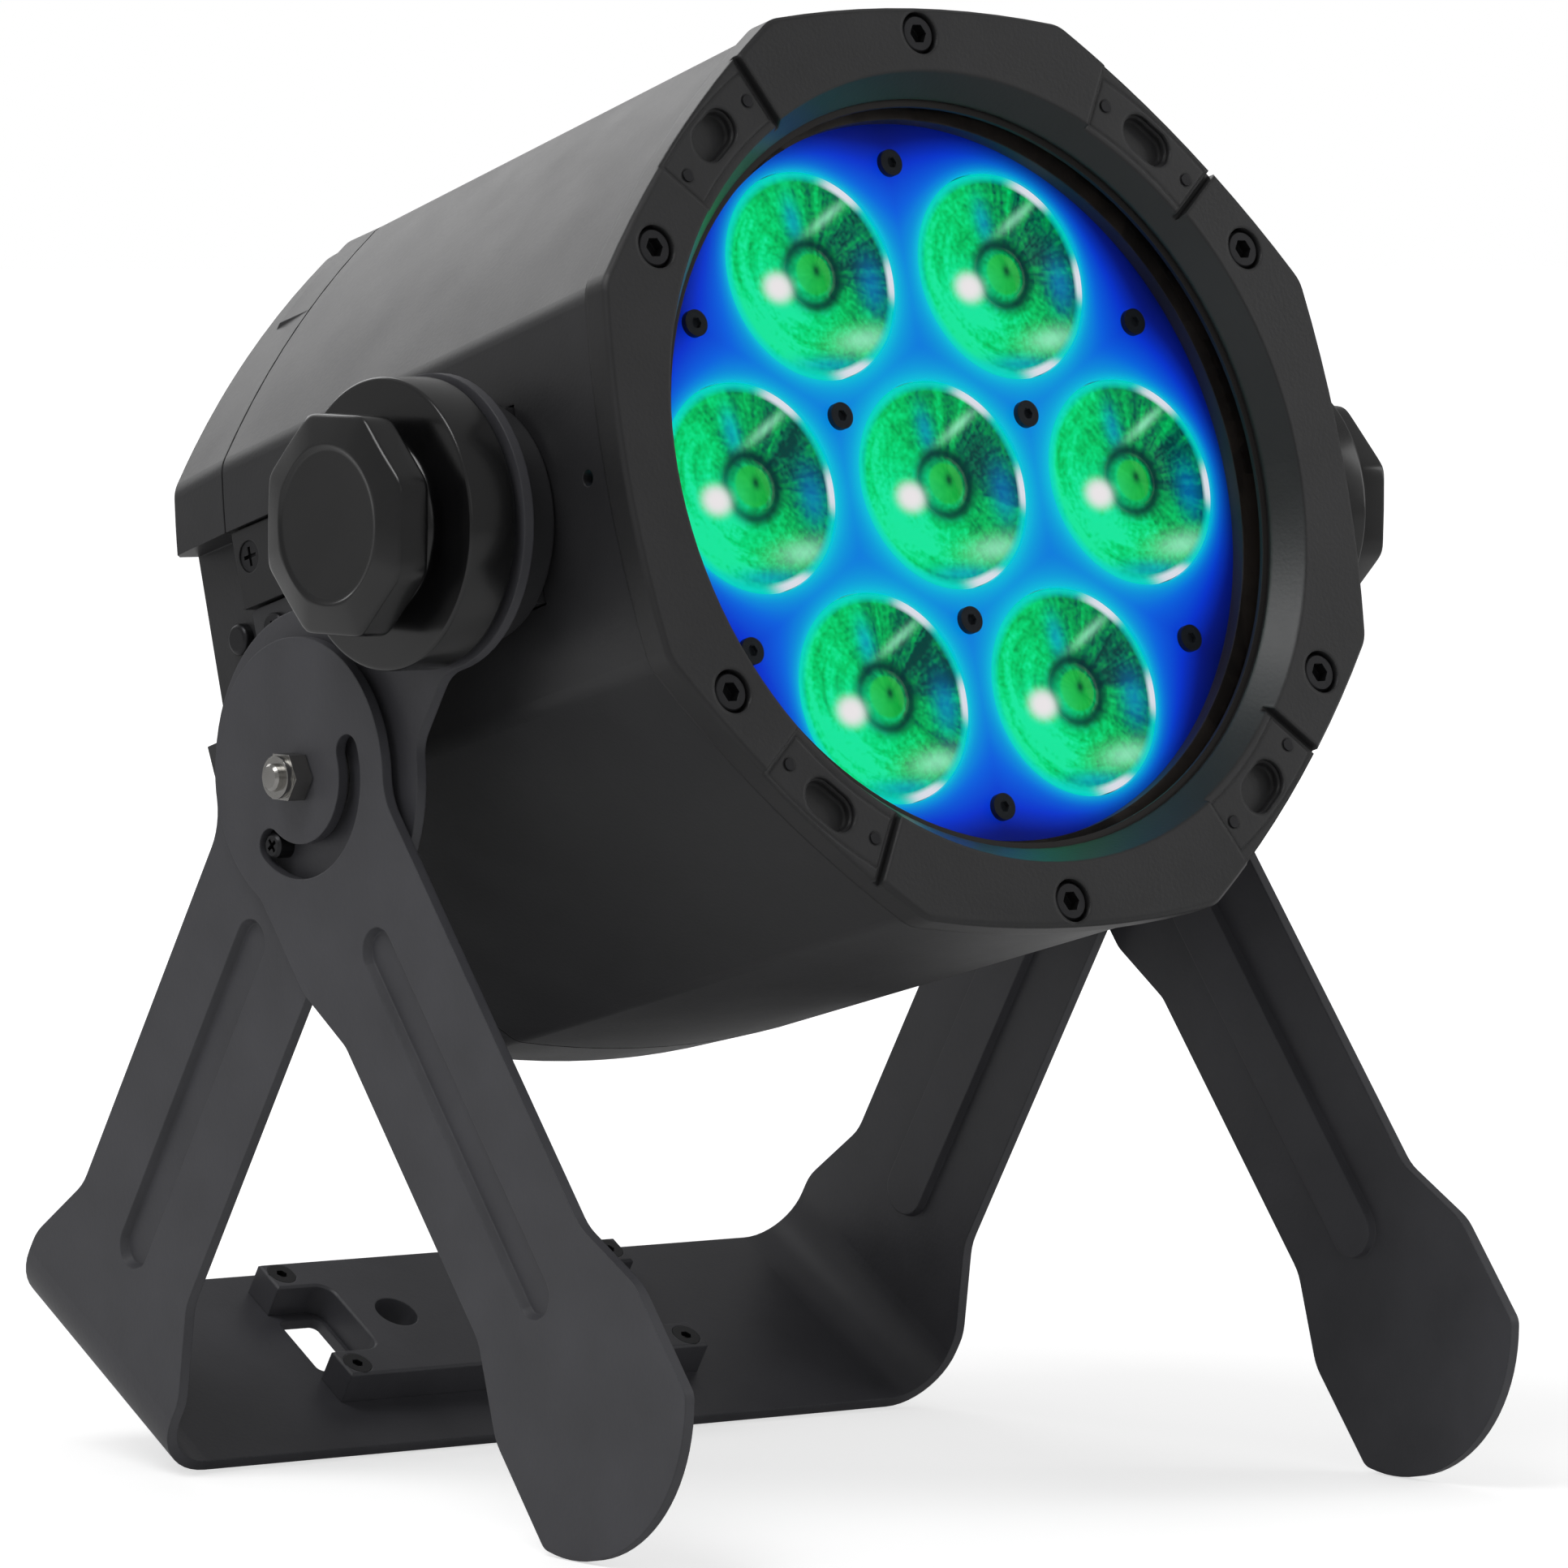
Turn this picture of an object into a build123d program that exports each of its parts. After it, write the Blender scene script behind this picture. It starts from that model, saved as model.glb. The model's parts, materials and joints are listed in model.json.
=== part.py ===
from build123d import *
from math import cos, radians, sin, sqrt
import os

# Seven-lens LED par can on a floor-stand yoke. Millimetres, +Z up, the light faces -Y.
# The origin is the middle clamp hole, on the underside of the yoke's base plate.

# ---------------------------------------------------------------- stand: driving dimensions
sheet = 2.5                     # steel sheet of the yoke and of the two front legs
arm_gap = 9.1                   # space between the head and each yoke arm
bend_inner = 12.5               # inside radius of the yoke's two bends
pivot_back = 40.8               # leg pivot behind the tilt axis
pivot_drop = 56.4               # leg pivot below the tilt axis
yoke_lean = 31.0                # rear arm's lean from the vertical, degrees
yoke_length = 166.5             # leg pivot to the underside of the base plate
yoke_half = 23.0                # half width of the rear arm
base_half = 32.0                # half depth of the base plate
tilt_boss_r = 32.0              # round ear that carries the tilt bearing
pivot_boss_r = 36.5             # round ear that carries the leg pivot
neck_front = 26.0               # neck between the two ears, front edge
neck_rear = 18.0                # neck between the two ears, rear edge
leg_lean = 39.0                 # front leg's lean from the vertical, degrees
leg_half = 22.0                 # half width of the front leg
leg_head_r = 30.3               # round head of the front leg
leg_lobe = 27.5                 # head's lobe behind the arc slot
lobe_end = 38.0                 # lobe's reach down the leg
lobe_run = 18.0                 # length over which the lobe runs out
paddle_run = 25.3               # paddle's round end below where the leg starts to widen
paddle_half = 30.0              # half width of the foot paddle
paddle_end_r = 37.0             # radius of the paddle's end, which meets the floor
shoulder_run = 20.0             # length over which an arm widens into its foot
shoulder_gap = 5.0              # straight left between the yoke's shoulder and its bend
ear_blend = 15.0
neck_blend = 9.0
lobe_blend = 8.0
shoulder_blend = 12.0
paddle_blend = 4.0
bead_half = 6.25                # stiffening bead, half width at the surface
bead_depth = 1.9                # stiffening bead, pressed inwards
bead_slope = 1.0                # how much a bead narrows on each side over its depth
yoke_bead_start = 38.0          # bead's upper end, from the leg pivot
yoke_bead_past = 6.5            # bead's lower end beyond the arm's shoulder
leg_bead_start = 40.0
leg_bead_past = 9.0
leg_gap = 2.1                   # space between the yoke arm and the front leg
slot_r = 18.5                   # arc slot, centre-line radius
slot_width = 7.6                # arc slot, width
fold_travel = 142.0             # swing that the arc slot allows, degrees
stud_r = 3.0                    # M6 leg pivot stud
stud_head = 3.0
stud_head_r = 6.0
stud_length = 15.0
spacer_r = 12.5
nut_corner_r = 5.7
nut_thick = 6.0
stop_screw_r = 2.0
stop_head_r = 2.8
running = 0.05                  # radial clearance of a running fit
face_gap = 0.2                  # clearance between faces that move past each other

# ---------------------------------------------------------------- rigging plate on the base
rig_half_x = 52.0
rig_half_y = 21.0
rig_shift = 5.0                 # plate and holes behind the base plate's middle
rig_thick = 8.0
rig_hole_r = 5.2                # M10 clamp bolt holes
rig_hole_pitch = 26.0
rig_notch_depth = 14.0
rig_notch_half = 12.0
rig_notch_lip = 2.5             # base plate left showing round each notch
rig_screw_r = 2.0
rig_head_r = 3.5
rig_screw_inset = 4.0

# ---------------------------------------------------------------- head: driving dimensions
head_tilt = 16.5                # optical axis above the horizontal, degrees
axis_drop = 1.8                 # optical axis below the tilt axis
bezel_front = 52.7              # bezel face ahead of the tilt axis
bezel_flange = 7.0
bezel_corner_r = 107.8          # corners of the rounded octagon
bezel_round = 8.0
side_bulge = 3.2                # how far each side of the octagon bows out
barrel_step = 1.5               # barrel inside the bezel's outline, at the front
barrel_draft = 3.5              # further step at the rear end
barrel_rear = -96.0
barrel_wall = 2.6
seal_thick = 0.8                # flat seal between bezel and barrel
screw_inset = 10.8              # bezel screws in from the octagon's corner radius
bezel_screw_r = 2.5             # M5
bezel_screw_length = 16.0
bezel_bore_r = 4.8              # counterbore for the socket head
bezel_bore_depth = 5.2
bezel_head_r = 4.2
hex_socket_r = 2.3
boss_r = 5.5
face_r = 88.5                   # opening at the bezel's face
throat_r = 84.0                 # opening at the glass
throat_depth = 7.7
throat_land = 1.0
spigot_r = 91.0
spigot_depth = 9.2
glass_r = 87.0
glass_clear = 0.3
glass_thick = 4.0
gasket_thick = 1.0
gasket_lip = 1.5                # gasket showing inside the opening
retainer_thick = 3.5
retainer_lip = 3.0
pad_depth = 2.4                 # recess for an accessory plate
pad_plate = 1.2
pad_span = 20.0                 # degrees
pad_inner_r = 89.5
pad_outer_r = 101.8
pad_margin = 0.6                # degrees left round a plate
pad_angles = (50.0, 130.0, 230.0, 310.0)
groove_angles = (40.0, 120.0, 240.0, 320.0)
groove_width = 1.3
pad_window_r = 96.0
pad_window_long = 14.0
pad_window_wide = 9.0
pad_window_depth = 2.0
pad_screw_span = 7.8            # degrees to each side of the pad's middle
pad_screw_r = 1.3

# ---------------------------------------------------------------- light engine
optic_depth = 18.0              # lens plate behind the bezel's face
lens_plate_r = 84.5
lens_plate_thick = 1.5
lens_r = 23.4
lens_ring_r = 54.4
lens_height = 18.5
lens_clear = 0.2
lens_edge = 2.2                 # straight edge below a lens face
lens_tip_r = 9.0
lens_pip_r = 6.0                # central recess in a lens face
lens_pip_depth = 5.0
lens_eye_r = 5.0                # recess over the emitter
lens_eye_depth = 3.5
plate_screw_r = 1.5             # M3
plate_screw_length = 8.0
outer_screw_ring = 72.4
inner_screw_ring = 30.7
post_r = 2.6
board_thick = 2.0
led_size = 5.0
led_height = 0.8
led_dome = 1.5
sink_r = 80.0
sink_base = 9.0
sink_fins = 46.0
sink_screw_length = 18.0
sink_screw_r = 1.6
sink_screw_inset = 9.3          # heat sink's screws in from the head's half width
sink_ear_r = 3.9
fin_count = 11
fin_thick = 2.2
fin_inset = 4.0
chassis_thick = 2.0
chassis_inset = 2.0
psu_size = (104.0, 58.0, 40.0)
psu_low = 32.0                  # power supply below the optical axis
driver_size = (90.0, 48.0)
driver_high = 30.0              # driver board above the optical axis
driver_gap = 8.0
board_sheet = 1.6

# ---------------------------------------------------------------- side channel and trunnion
channel_half = 22.0
channel_front = 15.5            # front end of the channel, ahead of the tilt axis
channel_depth = 14.8            # side channel's floor below the head's widest point
slide_gap = 0.5
trunnion_base = 13.8
trunnion_boss_r = 26.0
trunnion_screw_r = 2.5
trunnion_screw_at = (9.0, 15.0)
bearing_r = 12.0                # tilt bearing
rail_front = -16.0
rail_rear = -95.0
rail_height = 8.0
rail_groove_half = 6.5
rail_groove_drop = 2.5
rail_groove_depth = 3.5
rail_screw_r = 2.0
rail_head_r = 3.6
rail_head_depth = 2.0
rail_screw_inset = 5.0
rail_screw_y = 15.0
stop_at = -86.0
stop_length = 16.0
stop_width = 12.0
stop_thick = 2.0
side_hole_r = 1.8
side_hole_at = 38.0

# ---------------------------------------------------------------- tilt knobs
knob_disc_r = 31.3
knob_disc_thick = 12.2
knob_neck = 4.8                 # neck between the disc and the grip
knob_grip_flat = 23.4           # half the width across the grip's flats
grip_depth = 10.0
knob_neck_r = 17.5
knob_dish_r = 16.5
knob_screw_r = 4.0              # M8
knob_screw_gap = 6.0            # knob screw's end above the channel floor
knob_washer_r = 20.0
washer_thick = 1.2

# ---------------------------------------------------------------- rear cover
cover_back = -119.0
cover_draft = 1.5
cover_wall = 2.6
cover_seal = 0.5
cover_screw_r = 2.0
cover_head_r = 3.6
cover_screw_inset = 13.3
cover_screw_length = 14.0
cover_angles = (22.5, 157.5, 202.5, 247.5, 292.5, 337.5)
block_back = -130.0
block_half = 63.0
block_low = 60.0                # top block's underside, from the optical axis
block_high = 115.0
block_bend = -108.0             # where the block's top starts to slope
block_slope = 12.0
panel_x = 104.0
panel_w = 48.0
panel_high = 22.0               # panel's middle above the optical axis
panel_sink = 6.0                # control panel's recess in the rear face
window_size = (46.0, 18.0)
window_high = 32.0
window_thick = 1.5
button_r = 4.0
button_pitch = 18.0
button_high = 8.0
button_travel = 1.0
button_reach = 3.0              # button standing out of the panel
button_clear = 0.3
socket_low = -32.0
socket_spots = (-54.0, -18.0, 18.0, 54.0)
socket_flange_r = 14.0
socket_flange = 3.0
power_shell_r = 11.0
data_shell_r = 9.0
socket_reach = 12.0
socket_body = 14.0
vent_at = (0.0, -58.0)
vent_r = 6.0
eye_at = (0.0, -80.0)
eye_width = 34.0
eye_reach = 20.0
eye_thick = 5.0
foot_at = (46.0, -76.0)
foot_r = 7.0
channel_screw_at = (-107.0, 0.0)

# ---------------------------------------------------------------- worked-out places
lean = radians(yoke_lean)
leg_angle = radians(leg_lean)
pivot_y = -yoke_length * sin(lean) - rig_shift * cos(lean)
pivot_z = yoke_length * cos(lean) - rig_shift * sin(lean)
tilt_y = pivot_y - pivot_back
tilt_z = pivot_z + pivot_drop
floor_z = -(rig_shift + base_half) * sin(lean)
head_half = bezel_corner_r * cos(radians(22.5)) + side_bulge
screw_circle_r = bezel_corner_r - screw_inset
sink_screw_ring = head_half - sink_screw_inset
cover_screw_ring = bezel_corner_r - cover_screw_inset
channel_floor = head_half - channel_depth
yoke_inner = head_half + arm_gap
yoke_outer = yoke_inner + sheet
knob_back = yoke_outer + face_gap + washer_thick
knob_disc_end = knob_back + knob_disc_thick
knob_face = knob_disc_end + knob_neck + grip_depth
knob_screw_start = channel_floor + knob_screw_gap
leg_inner = yoke_outer + leg_gap
leg_outer = leg_inner + sheet
paddle_centre = (pivot_z - floor_z - paddle_end_r) / cos(leg_angle)
barrel_front = bezel_front - bezel_flange - seal_thick
boss_face = yoke_inner - face_gap
rear_dir = (0, sin(lean), -cos(lean))
front_dir = (0, -sin(leg_angle), -cos(leg_angle))
ear_s = -pivot_back * sin(lean) - pivot_drop * cos(lean)
ear_t = -pivot_back * cos(lean) + pivot_drop * sin(lean)
yoke_shoulder = yoke_length - sheet - bend_inner - shoulder_gap - shoulder_run
leg_shoulder = paddle_centre - paddle_run
yoke_bead = (yoke_bead_start, yoke_shoulder + yoke_bead_past)
leg_bead = (leg_bead_start, leg_shoulder + leg_bead_past)

HEAD = Plane(
    origin=(0, tilt_y, tilt_z),
    x_dir=(1, 0, 0),
    z_dir=(0, -cos(radians(head_tilt)), sin(radians(head_tilt))),
)
AHEAD = Axis((0, 0, 0), HEAD.z_dir)


def optic(u, x=0.0, w=0.0):
    """Plane across the optical axis, u ahead of the tilt axis."""
    centre = HEAD.from_local_coords(Vector(x, w - axis_drop, u))
    return Plane(origin=centre, x_dir=HEAD.x_dir, z_dir=HEAD.z_dir)


def turning(x=0.0, w=0.0):
    """Plane through a line along the optical axis: local x is radial, y is forwards."""
    centre = HEAD.from_local_coords(Vector(x, w - axis_drop, 0))
    return Plane(origin=centre, x_dir=HEAD.x_dir, z_dir=HEAD.y_dir.reverse())


def side(x):
    """Plane square to the tilt axis at x, in the head's frame: local x is forwards, y is down."""
    return Plane(origin=(x, tilt_y, tilt_z), x_dir=HEAD.z_dir, z_dir=(1, 0, 0))


def stand_side(x, direction):
    """Plane square to X through the leg pivot: local x runs down the arm, y to the rear."""
    return Plane(origin=(x, pivot_y, pivot_z), x_dir=direction, z_dir=(1, 0, 0))


def base_top(height=0.0):
    """Plane above the base plate: local x is to the right, y to the rear."""
    reach = yoke_length - sheet - height
    return Plane(
        origin=(0, pivot_y + reach * sin(lean), pivot_z - reach * cos(lean)),
        x_dir=(1, 0, 0),
        z_dir=(0, -sin(lean), cos(lean)),
    )


def polar(radius, angle):
    return (radius * cos(radians(angle)), radius * sin(radians(angle)))


def chord(radius, offset):
    """Half chord of a circle at an offset from its centre."""
    return sqrt(radius ** 2 - offset ** 2)


def closest(shape, *spots):
    """Vertices of a sketch nearest to the given places."""
    return [shape.vertices().sort_by_distance(Vector(*spot))[0] for spot in spots]


def save(piece, name):
    piece.part.label = name
    export_step(piece.part, f"parts/{name}.step")


def save_mirrored(piece, name):
    """Writes the right-hand piece and its left-hand twin."""
    save(piece, f"{name}_right")
    with BuildPart() as twin:
        mirror(piece.part, about=Plane.YZ)
    save(twin, f"{name}_left")


def octagon(inset, rounding=bezel_round):
    """Rounded octagon of the head with bowed sides, moved in by inset all round."""
    corner = bezel_corner_r - inset / cos(radians(22.5))
    corners = [polar(corner, 22.5 + 45 * i) for i in range(9)]
    with BuildSketch() as shape:
        with BuildLine():
            for start, end in zip(corners, corners[1:]):
                SagittaArc(start, end, -side_bulge)
        make_face()
        fillet(shape.vertices(), rounding)
    return shape.sketch


def sector(inner, outer, start, span):
    """Piece of a flat ring."""
    with BuildSketch() as piece:
        with BuildLine():
            CenterArc((0, 0), outer, start, span)
            CenterArc((0, 0), inner, start, span)
            Line(polar(inner, start), polar(outer, start))
            Line(polar(inner, start + span), polar(outer, start + span))
        make_face()
    return piece.sketch


def pressed(ends, face, depth, margin):
    """Long round-ended body that narrows with depth below a face."""
    with BuildPart() as body:
        for level, inset in ((0, 0), (depth, bead_slope)):
            with BuildSketch(face.offset(-level)):
                with Locations(((ends[0] + ends[1]) / 2, 0)):
                    SlotOverall(ends[1] - ends[0] + 2 * (margin - inset), 2 * (bead_half + margin - inset))
        loft()
    return body.part


os.makedirs("parts", exist_ok=True)

# ================================================================ stand
rig_corners = [(x * (rig_half_x - rig_screw_inset), rig_shift + y * (rig_half_y - rig_screw_inset))
               for x in (-1, 1) for y in (-1, 1)]
rig_holes = [(i * rig_hole_pitch, rig_shift) for i in (-1, 0, 1)]
stop_spot = polar(slot_r, fold_travel / 2)
yoke_top = ear_s - tilt_boss_r - 1
yoke_ridge = pressed(yoke_bead, stand_side(yoke_outer, rear_dir), sheet + bead_depth, 1.0)
yoke_groove = pressed(yoke_bead, stand_side(yoke_outer, rear_dir), bead_depth, -1.0)
across = Plane(origin=(0, pivot_y, pivot_z), x_dir=(1, 0, 0), z_dir=(0, cos(lean), sin(lean)))

with BuildPart() as yoke:
    with BuildSketch(across) as channel:
        with Locations((0, (yoke_top + yoke_length) / 2)):
            Rectangle(2 * yoke_outer, yoke_length - yoke_top)
        fillet(channel.vertices().group_by(Axis.Y)[-1], bend_inner + sheet)
    extrude(amount=pivot_boss_r + 10, both=True)
    with BuildSketch(across) as hollow:
        with Locations((0, (yoke_top + yoke_length - sheet) / 2 - 5)):
            Rectangle(2 * yoke_inner, yoke_length - sheet - yoke_top + 10)
        fillet(hollow.vertices().group_by(Axis.Y)[-1], bend_inner)
    extrude(amount=pivot_boss_r + 11, both=True, mode=Mode.SUBTRACT)
    with BuildSketch(stand_side(0, rear_dir)) as arm:
        with Locations((ear_s, ear_t)):
            Circle(tilt_boss_r)
        Circle(pivot_boss_r)
        with BuildLine():
            Polyline((ear_s, -neck_front), (0, -neck_front), (0, neck_rear), (ear_s, neck_rear), close=True)
        make_face()
        with BuildLine():
            Polyline(
                (0, -yoke_half), (yoke_shoulder, -yoke_half), (yoke_shoulder + shoulder_run, -base_half),
                (yoke_length + 1, -base_half), (yoke_length + 1, base_half),
                (yoke_shoulder + shoulder_run, base_half), (yoke_shoulder, yoke_half), (0, yoke_half),
                close=True,
            )
        make_face()
        fillet(closest(arm, (chord(pivot_boss_r, yoke_half), yoke_half),
                       (chord(pivot_boss_r, yoke_half), -yoke_half)), ear_blend)
        fillet(closest(arm, (ear_s + chord(tilt_boss_r, neck_front + ear_t), -neck_front),
                       (-chord(pivot_boss_r, neck_front), -neck_front)), neck_blend)
        fillet(closest(arm, (ear_s + chord(tilt_boss_r, neck_rear - ear_t), neck_rear),
                       (-chord(pivot_boss_r, neck_rear), neck_rear)), neck_blend)
        fillet(closest(arm, (yoke_shoulder, yoke_half), (yoke_shoulder, -yoke_half),
                       (yoke_shoulder + shoulder_run, base_half),
                       (yoke_shoulder + shoulder_run, -base_half)), shoulder_blend)
    extrude(amount=yoke_outer + 1, both=True, mode=Mode.INTERSECT)
    add(yoke_ridge)
    mirror(yoke_ridge, about=Plane.YZ)
    add(yoke_groove, mode=Mode.SUBTRACT)
    mirror(yoke_groove, about=Plane.YZ, mode=Mode.SUBTRACT)
    with BuildSketch(stand_side(0, rear_dir)):
        with Locations((ear_s, ear_t)):
            Circle(bearing_r + running)
        Circle(stud_r)
    extrude(amount=yoke_outer + 1, both=True, mode=Mode.SUBTRACT)
    with BuildSketch(stand_side(0, front_dir)):
        with Locations(stop_spot):
            Circle(stop_screw_r)
    extrude(amount=yoke_outer + 1, both=True, mode=Mode.SUBTRACT)
    with BuildSketch(base_top()):
        with Locations(*rig_holes):
            Circle(rig_hole_r)
        with Locations(*rig_corners):
            Circle(rig_screw_r)
        with Locations((-rig_half_x + rig_notch_depth / 2, rig_shift),
                       (rig_half_x - rig_notch_depth / 2, rig_shift)):
            RectangleRounded(rig_notch_depth - rig_notch_lip, 2 * (rig_notch_half - rig_notch_lip), 2)
    extrude(amount=-2 * sheet, mode=Mode.SUBTRACT)
save(yoke, "yoke")

with BuildPart() as rigging_plate:
    with BuildSketch(base_top()):
        with Locations((0, rig_shift)):
            Rectangle(2 * rig_half_x, 2 * rig_half_y)
        with Locations((-rig_half_x, rig_shift), (rig_half_x, rig_shift)):
            RectangleRounded(2 * rig_notch_depth, 2 * rig_notch_half, 4, mode=Mode.SUBTRACT)
        with Locations(*rig_holes):
            Circle(rig_hole_r, mode=Mode.SUBTRACT)
    extrude(amount=rig_thick)
    chamfer(rigging_plate.faces().sort_by(Axis((0, 0, 0), base_top().z_dir))[-1].outer_wire().edges(), 0.5)
    with BuildSketch(base_top(rig_thick)):
        with Locations(*rig_corners):
            Circle(rig_screw_r)
    extrude(amount=-rig_thick, mode=Mode.SUBTRACT)
    with BuildSketch(base_top(rig_thick)):
        with Locations(*rig_corners):
            Circle(rig_head_r)
    extrude(amount=-2.0, mode=Mode.SUBTRACT)
save(rigging_plate, "rigging_plate")

with BuildPart() as rigging_screws:
    with BuildSketch(base_top(rig_thick)):
        with Locations(*rig_corners):
            Circle(rig_head_r - 0.1)
    extrude(amount=-2.0)
    with BuildSketch(base_top(rig_thick)):
        with Locations(*rig_corners):
            Circle(rig_screw_r)
    extrude(amount=-rig_thick - sheet)
    with BuildSketch(base_top(rig_thick)):
        with Locations(*rig_corners):
            RegularPolygon(1.4, 6)
    extrude(amount=-1.2, mode=Mode.SUBTRACT)
save(rigging_screws, "rigging_screws")

# ---------------------------------------------------------------- front legs and their pivots
leg_ridge = pressed(leg_bead, stand_side(leg_outer, front_dir), sheet + bead_depth, 1.0)
leg_groove = pressed(leg_bead, stand_side(leg_outer, front_dir), bead_depth, -1.0)
paddle_corner = paddle_centre + chord(paddle_end_r, paddle_half)
slot_arc = CenterArc((0, 0), slot_r, -fold_travel / 2, fold_travel)

with BuildPart() as front_leg:
    with BuildSketch(stand_side(leg_inner, front_dir)) as blade:
        Circle(leg_head_r)
        with BuildLine():
            Polyline((paddle_corner, -paddle_half), (leg_shoulder + shoulder_run, -paddle_half),
                     (leg_shoulder, -leg_half), (0, -leg_half), (0, leg_lobe), (lobe_end, leg_lobe),
                     (lobe_end + lobe_run, leg_half), (leg_shoulder, leg_half),
                     (leg_shoulder + shoulder_run, paddle_half), (paddle_corner, paddle_half))
            ThreePointArc((paddle_corner, paddle_half), (paddle_centre + paddle_end_r, 0),
                          (paddle_corner, -paddle_half))
        make_face()
        fillet(closest(blade, (chord(leg_head_r, leg_half), -leg_half)), ear_blend)
        fillet(closest(blade, (chord(leg_head_r, leg_lobe), leg_lobe), (lobe_end, leg_lobe),
                       (lobe_end + lobe_run, leg_half)), lobe_blend)
        fillet(closest(blade, (leg_shoulder, -leg_half), (leg_shoulder, leg_half),
                       (leg_shoulder + shoulder_run, -paddle_half),
                       (leg_shoulder + shoulder_run, paddle_half)), shoulder_blend)
        fillet(closest(blade, (paddle_corner, -paddle_half), (paddle_corner, paddle_half)), paddle_blend)
        Circle(stud_r + running, mode=Mode.SUBTRACT)
        SlotArc(slot_arc, slot_width, mode=Mode.SUBTRACT)
    extrude(amount=sheet)
    add(leg_ridge)
    add(leg_groove, mode=Mode.SUBTRACT)
save_mirrored(front_leg, "front_leg")

with BuildPart() as leg_studs:
    with BuildSketch(stand_side(yoke_inner, rear_dir)):
        Circle(stud_head_r)
    extrude(amount=-stud_head)
    with BuildSketch(stand_side(yoke_inner, rear_dir)):
        Circle(stud_r)
    extrude(amount=stud_length)
    chamfer(leg_studs.edges().sort_by(Axis.X)[-1], 0.6)
    mirror(about=Plane.YZ)
save(leg_studs, "leg_studs")

with BuildPart() as leg_spacers:
    with BuildSketch(stand_side(yoke_outer, rear_dir)):
        Circle(spacer_r)
        Circle(stud_r, mode=Mode.SUBTRACT)
    extrude(amount=leg_gap - face_gap)
    mirror(about=Plane.YZ)
save(leg_spacers, "leg_spacers")

with BuildPart() as leg_nuts:
    with BuildSketch(stand_side(leg_outer + face_gap, rear_dir)):
        RegularPolygon(nut_corner_r, 6)
        Circle(stud_r, mode=Mode.SUBTRACT)
    extrude(amount=nut_thick - 1.5)
    with BuildSketch(stand_side(leg_outer + face_gap + nut_thick - 1.5, rear_dir)):
        Circle(nut_corner_r * cos(radians(30)) - 0.3)
        Circle(stud_r, mode=Mode.SUBTRACT)
    extrude(amount=1.5)
    mirror(about=Plane.YZ)
save(leg_nuts, "leg_nuts")

with BuildPart() as stop_screws:
    with BuildSketch(stand_side(yoke_inner, front_dir)):
        with Locations(stop_spot):
            Circle(stop_screw_r)
    extrude(amount=sheet)
    with BuildSketch(stand_side(yoke_outer, front_dir)):
        with Locations(stop_spot):
            Circle(stop_head_r)
    extrude(amount=leg_outer - yoke_outer - 0.4)
    chamfer(stop_screws.edges().sort_by(Axis.X)[-1], 0.6)
    with BuildSketch(stand_side(leg_outer, front_dir)):
        with Locations(stop_spot):
            Rectangle(3.2, 0.9)
            Rectangle(0.9, 3.2)
    extrude(amount=-1.8, mode=Mode.SUBTRACT)
    mirror(about=Plane.YZ)
save(stop_screws, "stop_screws")

# ================================================================ tilt knobs


def knob_side(x):
    """Plane square to the tilt axis at x, level with the floor."""
    return Plane(origin=(x, tilt_y, tilt_z), x_dir=(0, -1, 0), z_dir=(1, 0, 0))


with BuildPart() as knob:
    with BuildSketch(knob_side(knob_back)):
        Circle(knob_disc_r)
    extrude(amount=knob_disc_end - knob_back)
    chamfer(knob.faces().sort_by(Axis.X)[-1].edges(), 1.0)
    with BuildSketch(knob_side(knob_disc_end)):
        Circle(knob_neck_r)
    extrude(amount=knob_face - knob_disc_end - grip_depth)
    with BuildSketch(knob_side(knob_face - grip_depth)) as grip:
        RegularPolygon(knob_grip_flat, 8, major_radius=False, rotation=22.5)
        fillet(grip.vertices(), 1.5)
    extrude(amount=grip_depth)
    chamfer(knob.faces().sort_by(Axis.X)[-1].edges(), 1.2)
    with BuildSketch(knob_side(knob_face)):
        Circle(knob_dish_r)
    extrude(amount=-0.8, mode=Mode.SUBTRACT)
    with BuildSketch(knob_side(knob_back)):
        Circle(knob_screw_r)
    extrude(amount=knob_disc_end - knob_back, mode=Mode.SUBTRACT)
save_mirrored(knob, "tilt_knob")

with BuildPart() as knob_screw:
    with BuildSketch(knob_side(knob_screw_start)):
        Circle(knob_screw_r)
    extrude(amount=knob_disc_end - knob_screw_start)
save_mirrored(knob_screw, "knob_screw")

with BuildPart() as knob_washer:
    with BuildSketch(knob_side(yoke_outer + face_gap)):
        Circle(knob_washer_r)
        Circle(knob_screw_r, mode=Mode.SUBTRACT)
    extrude(amount=washer_thick)
save_mirrored(knob_washer, "knob_washer")

# ================================================================ side channel: trunnion, rail, stop
trunnion_spots = [(a * trunnion_screw_at[0], b * trunnion_screw_at[1]) for a in (-1, 1) for b in (-1, 1)]

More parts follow.
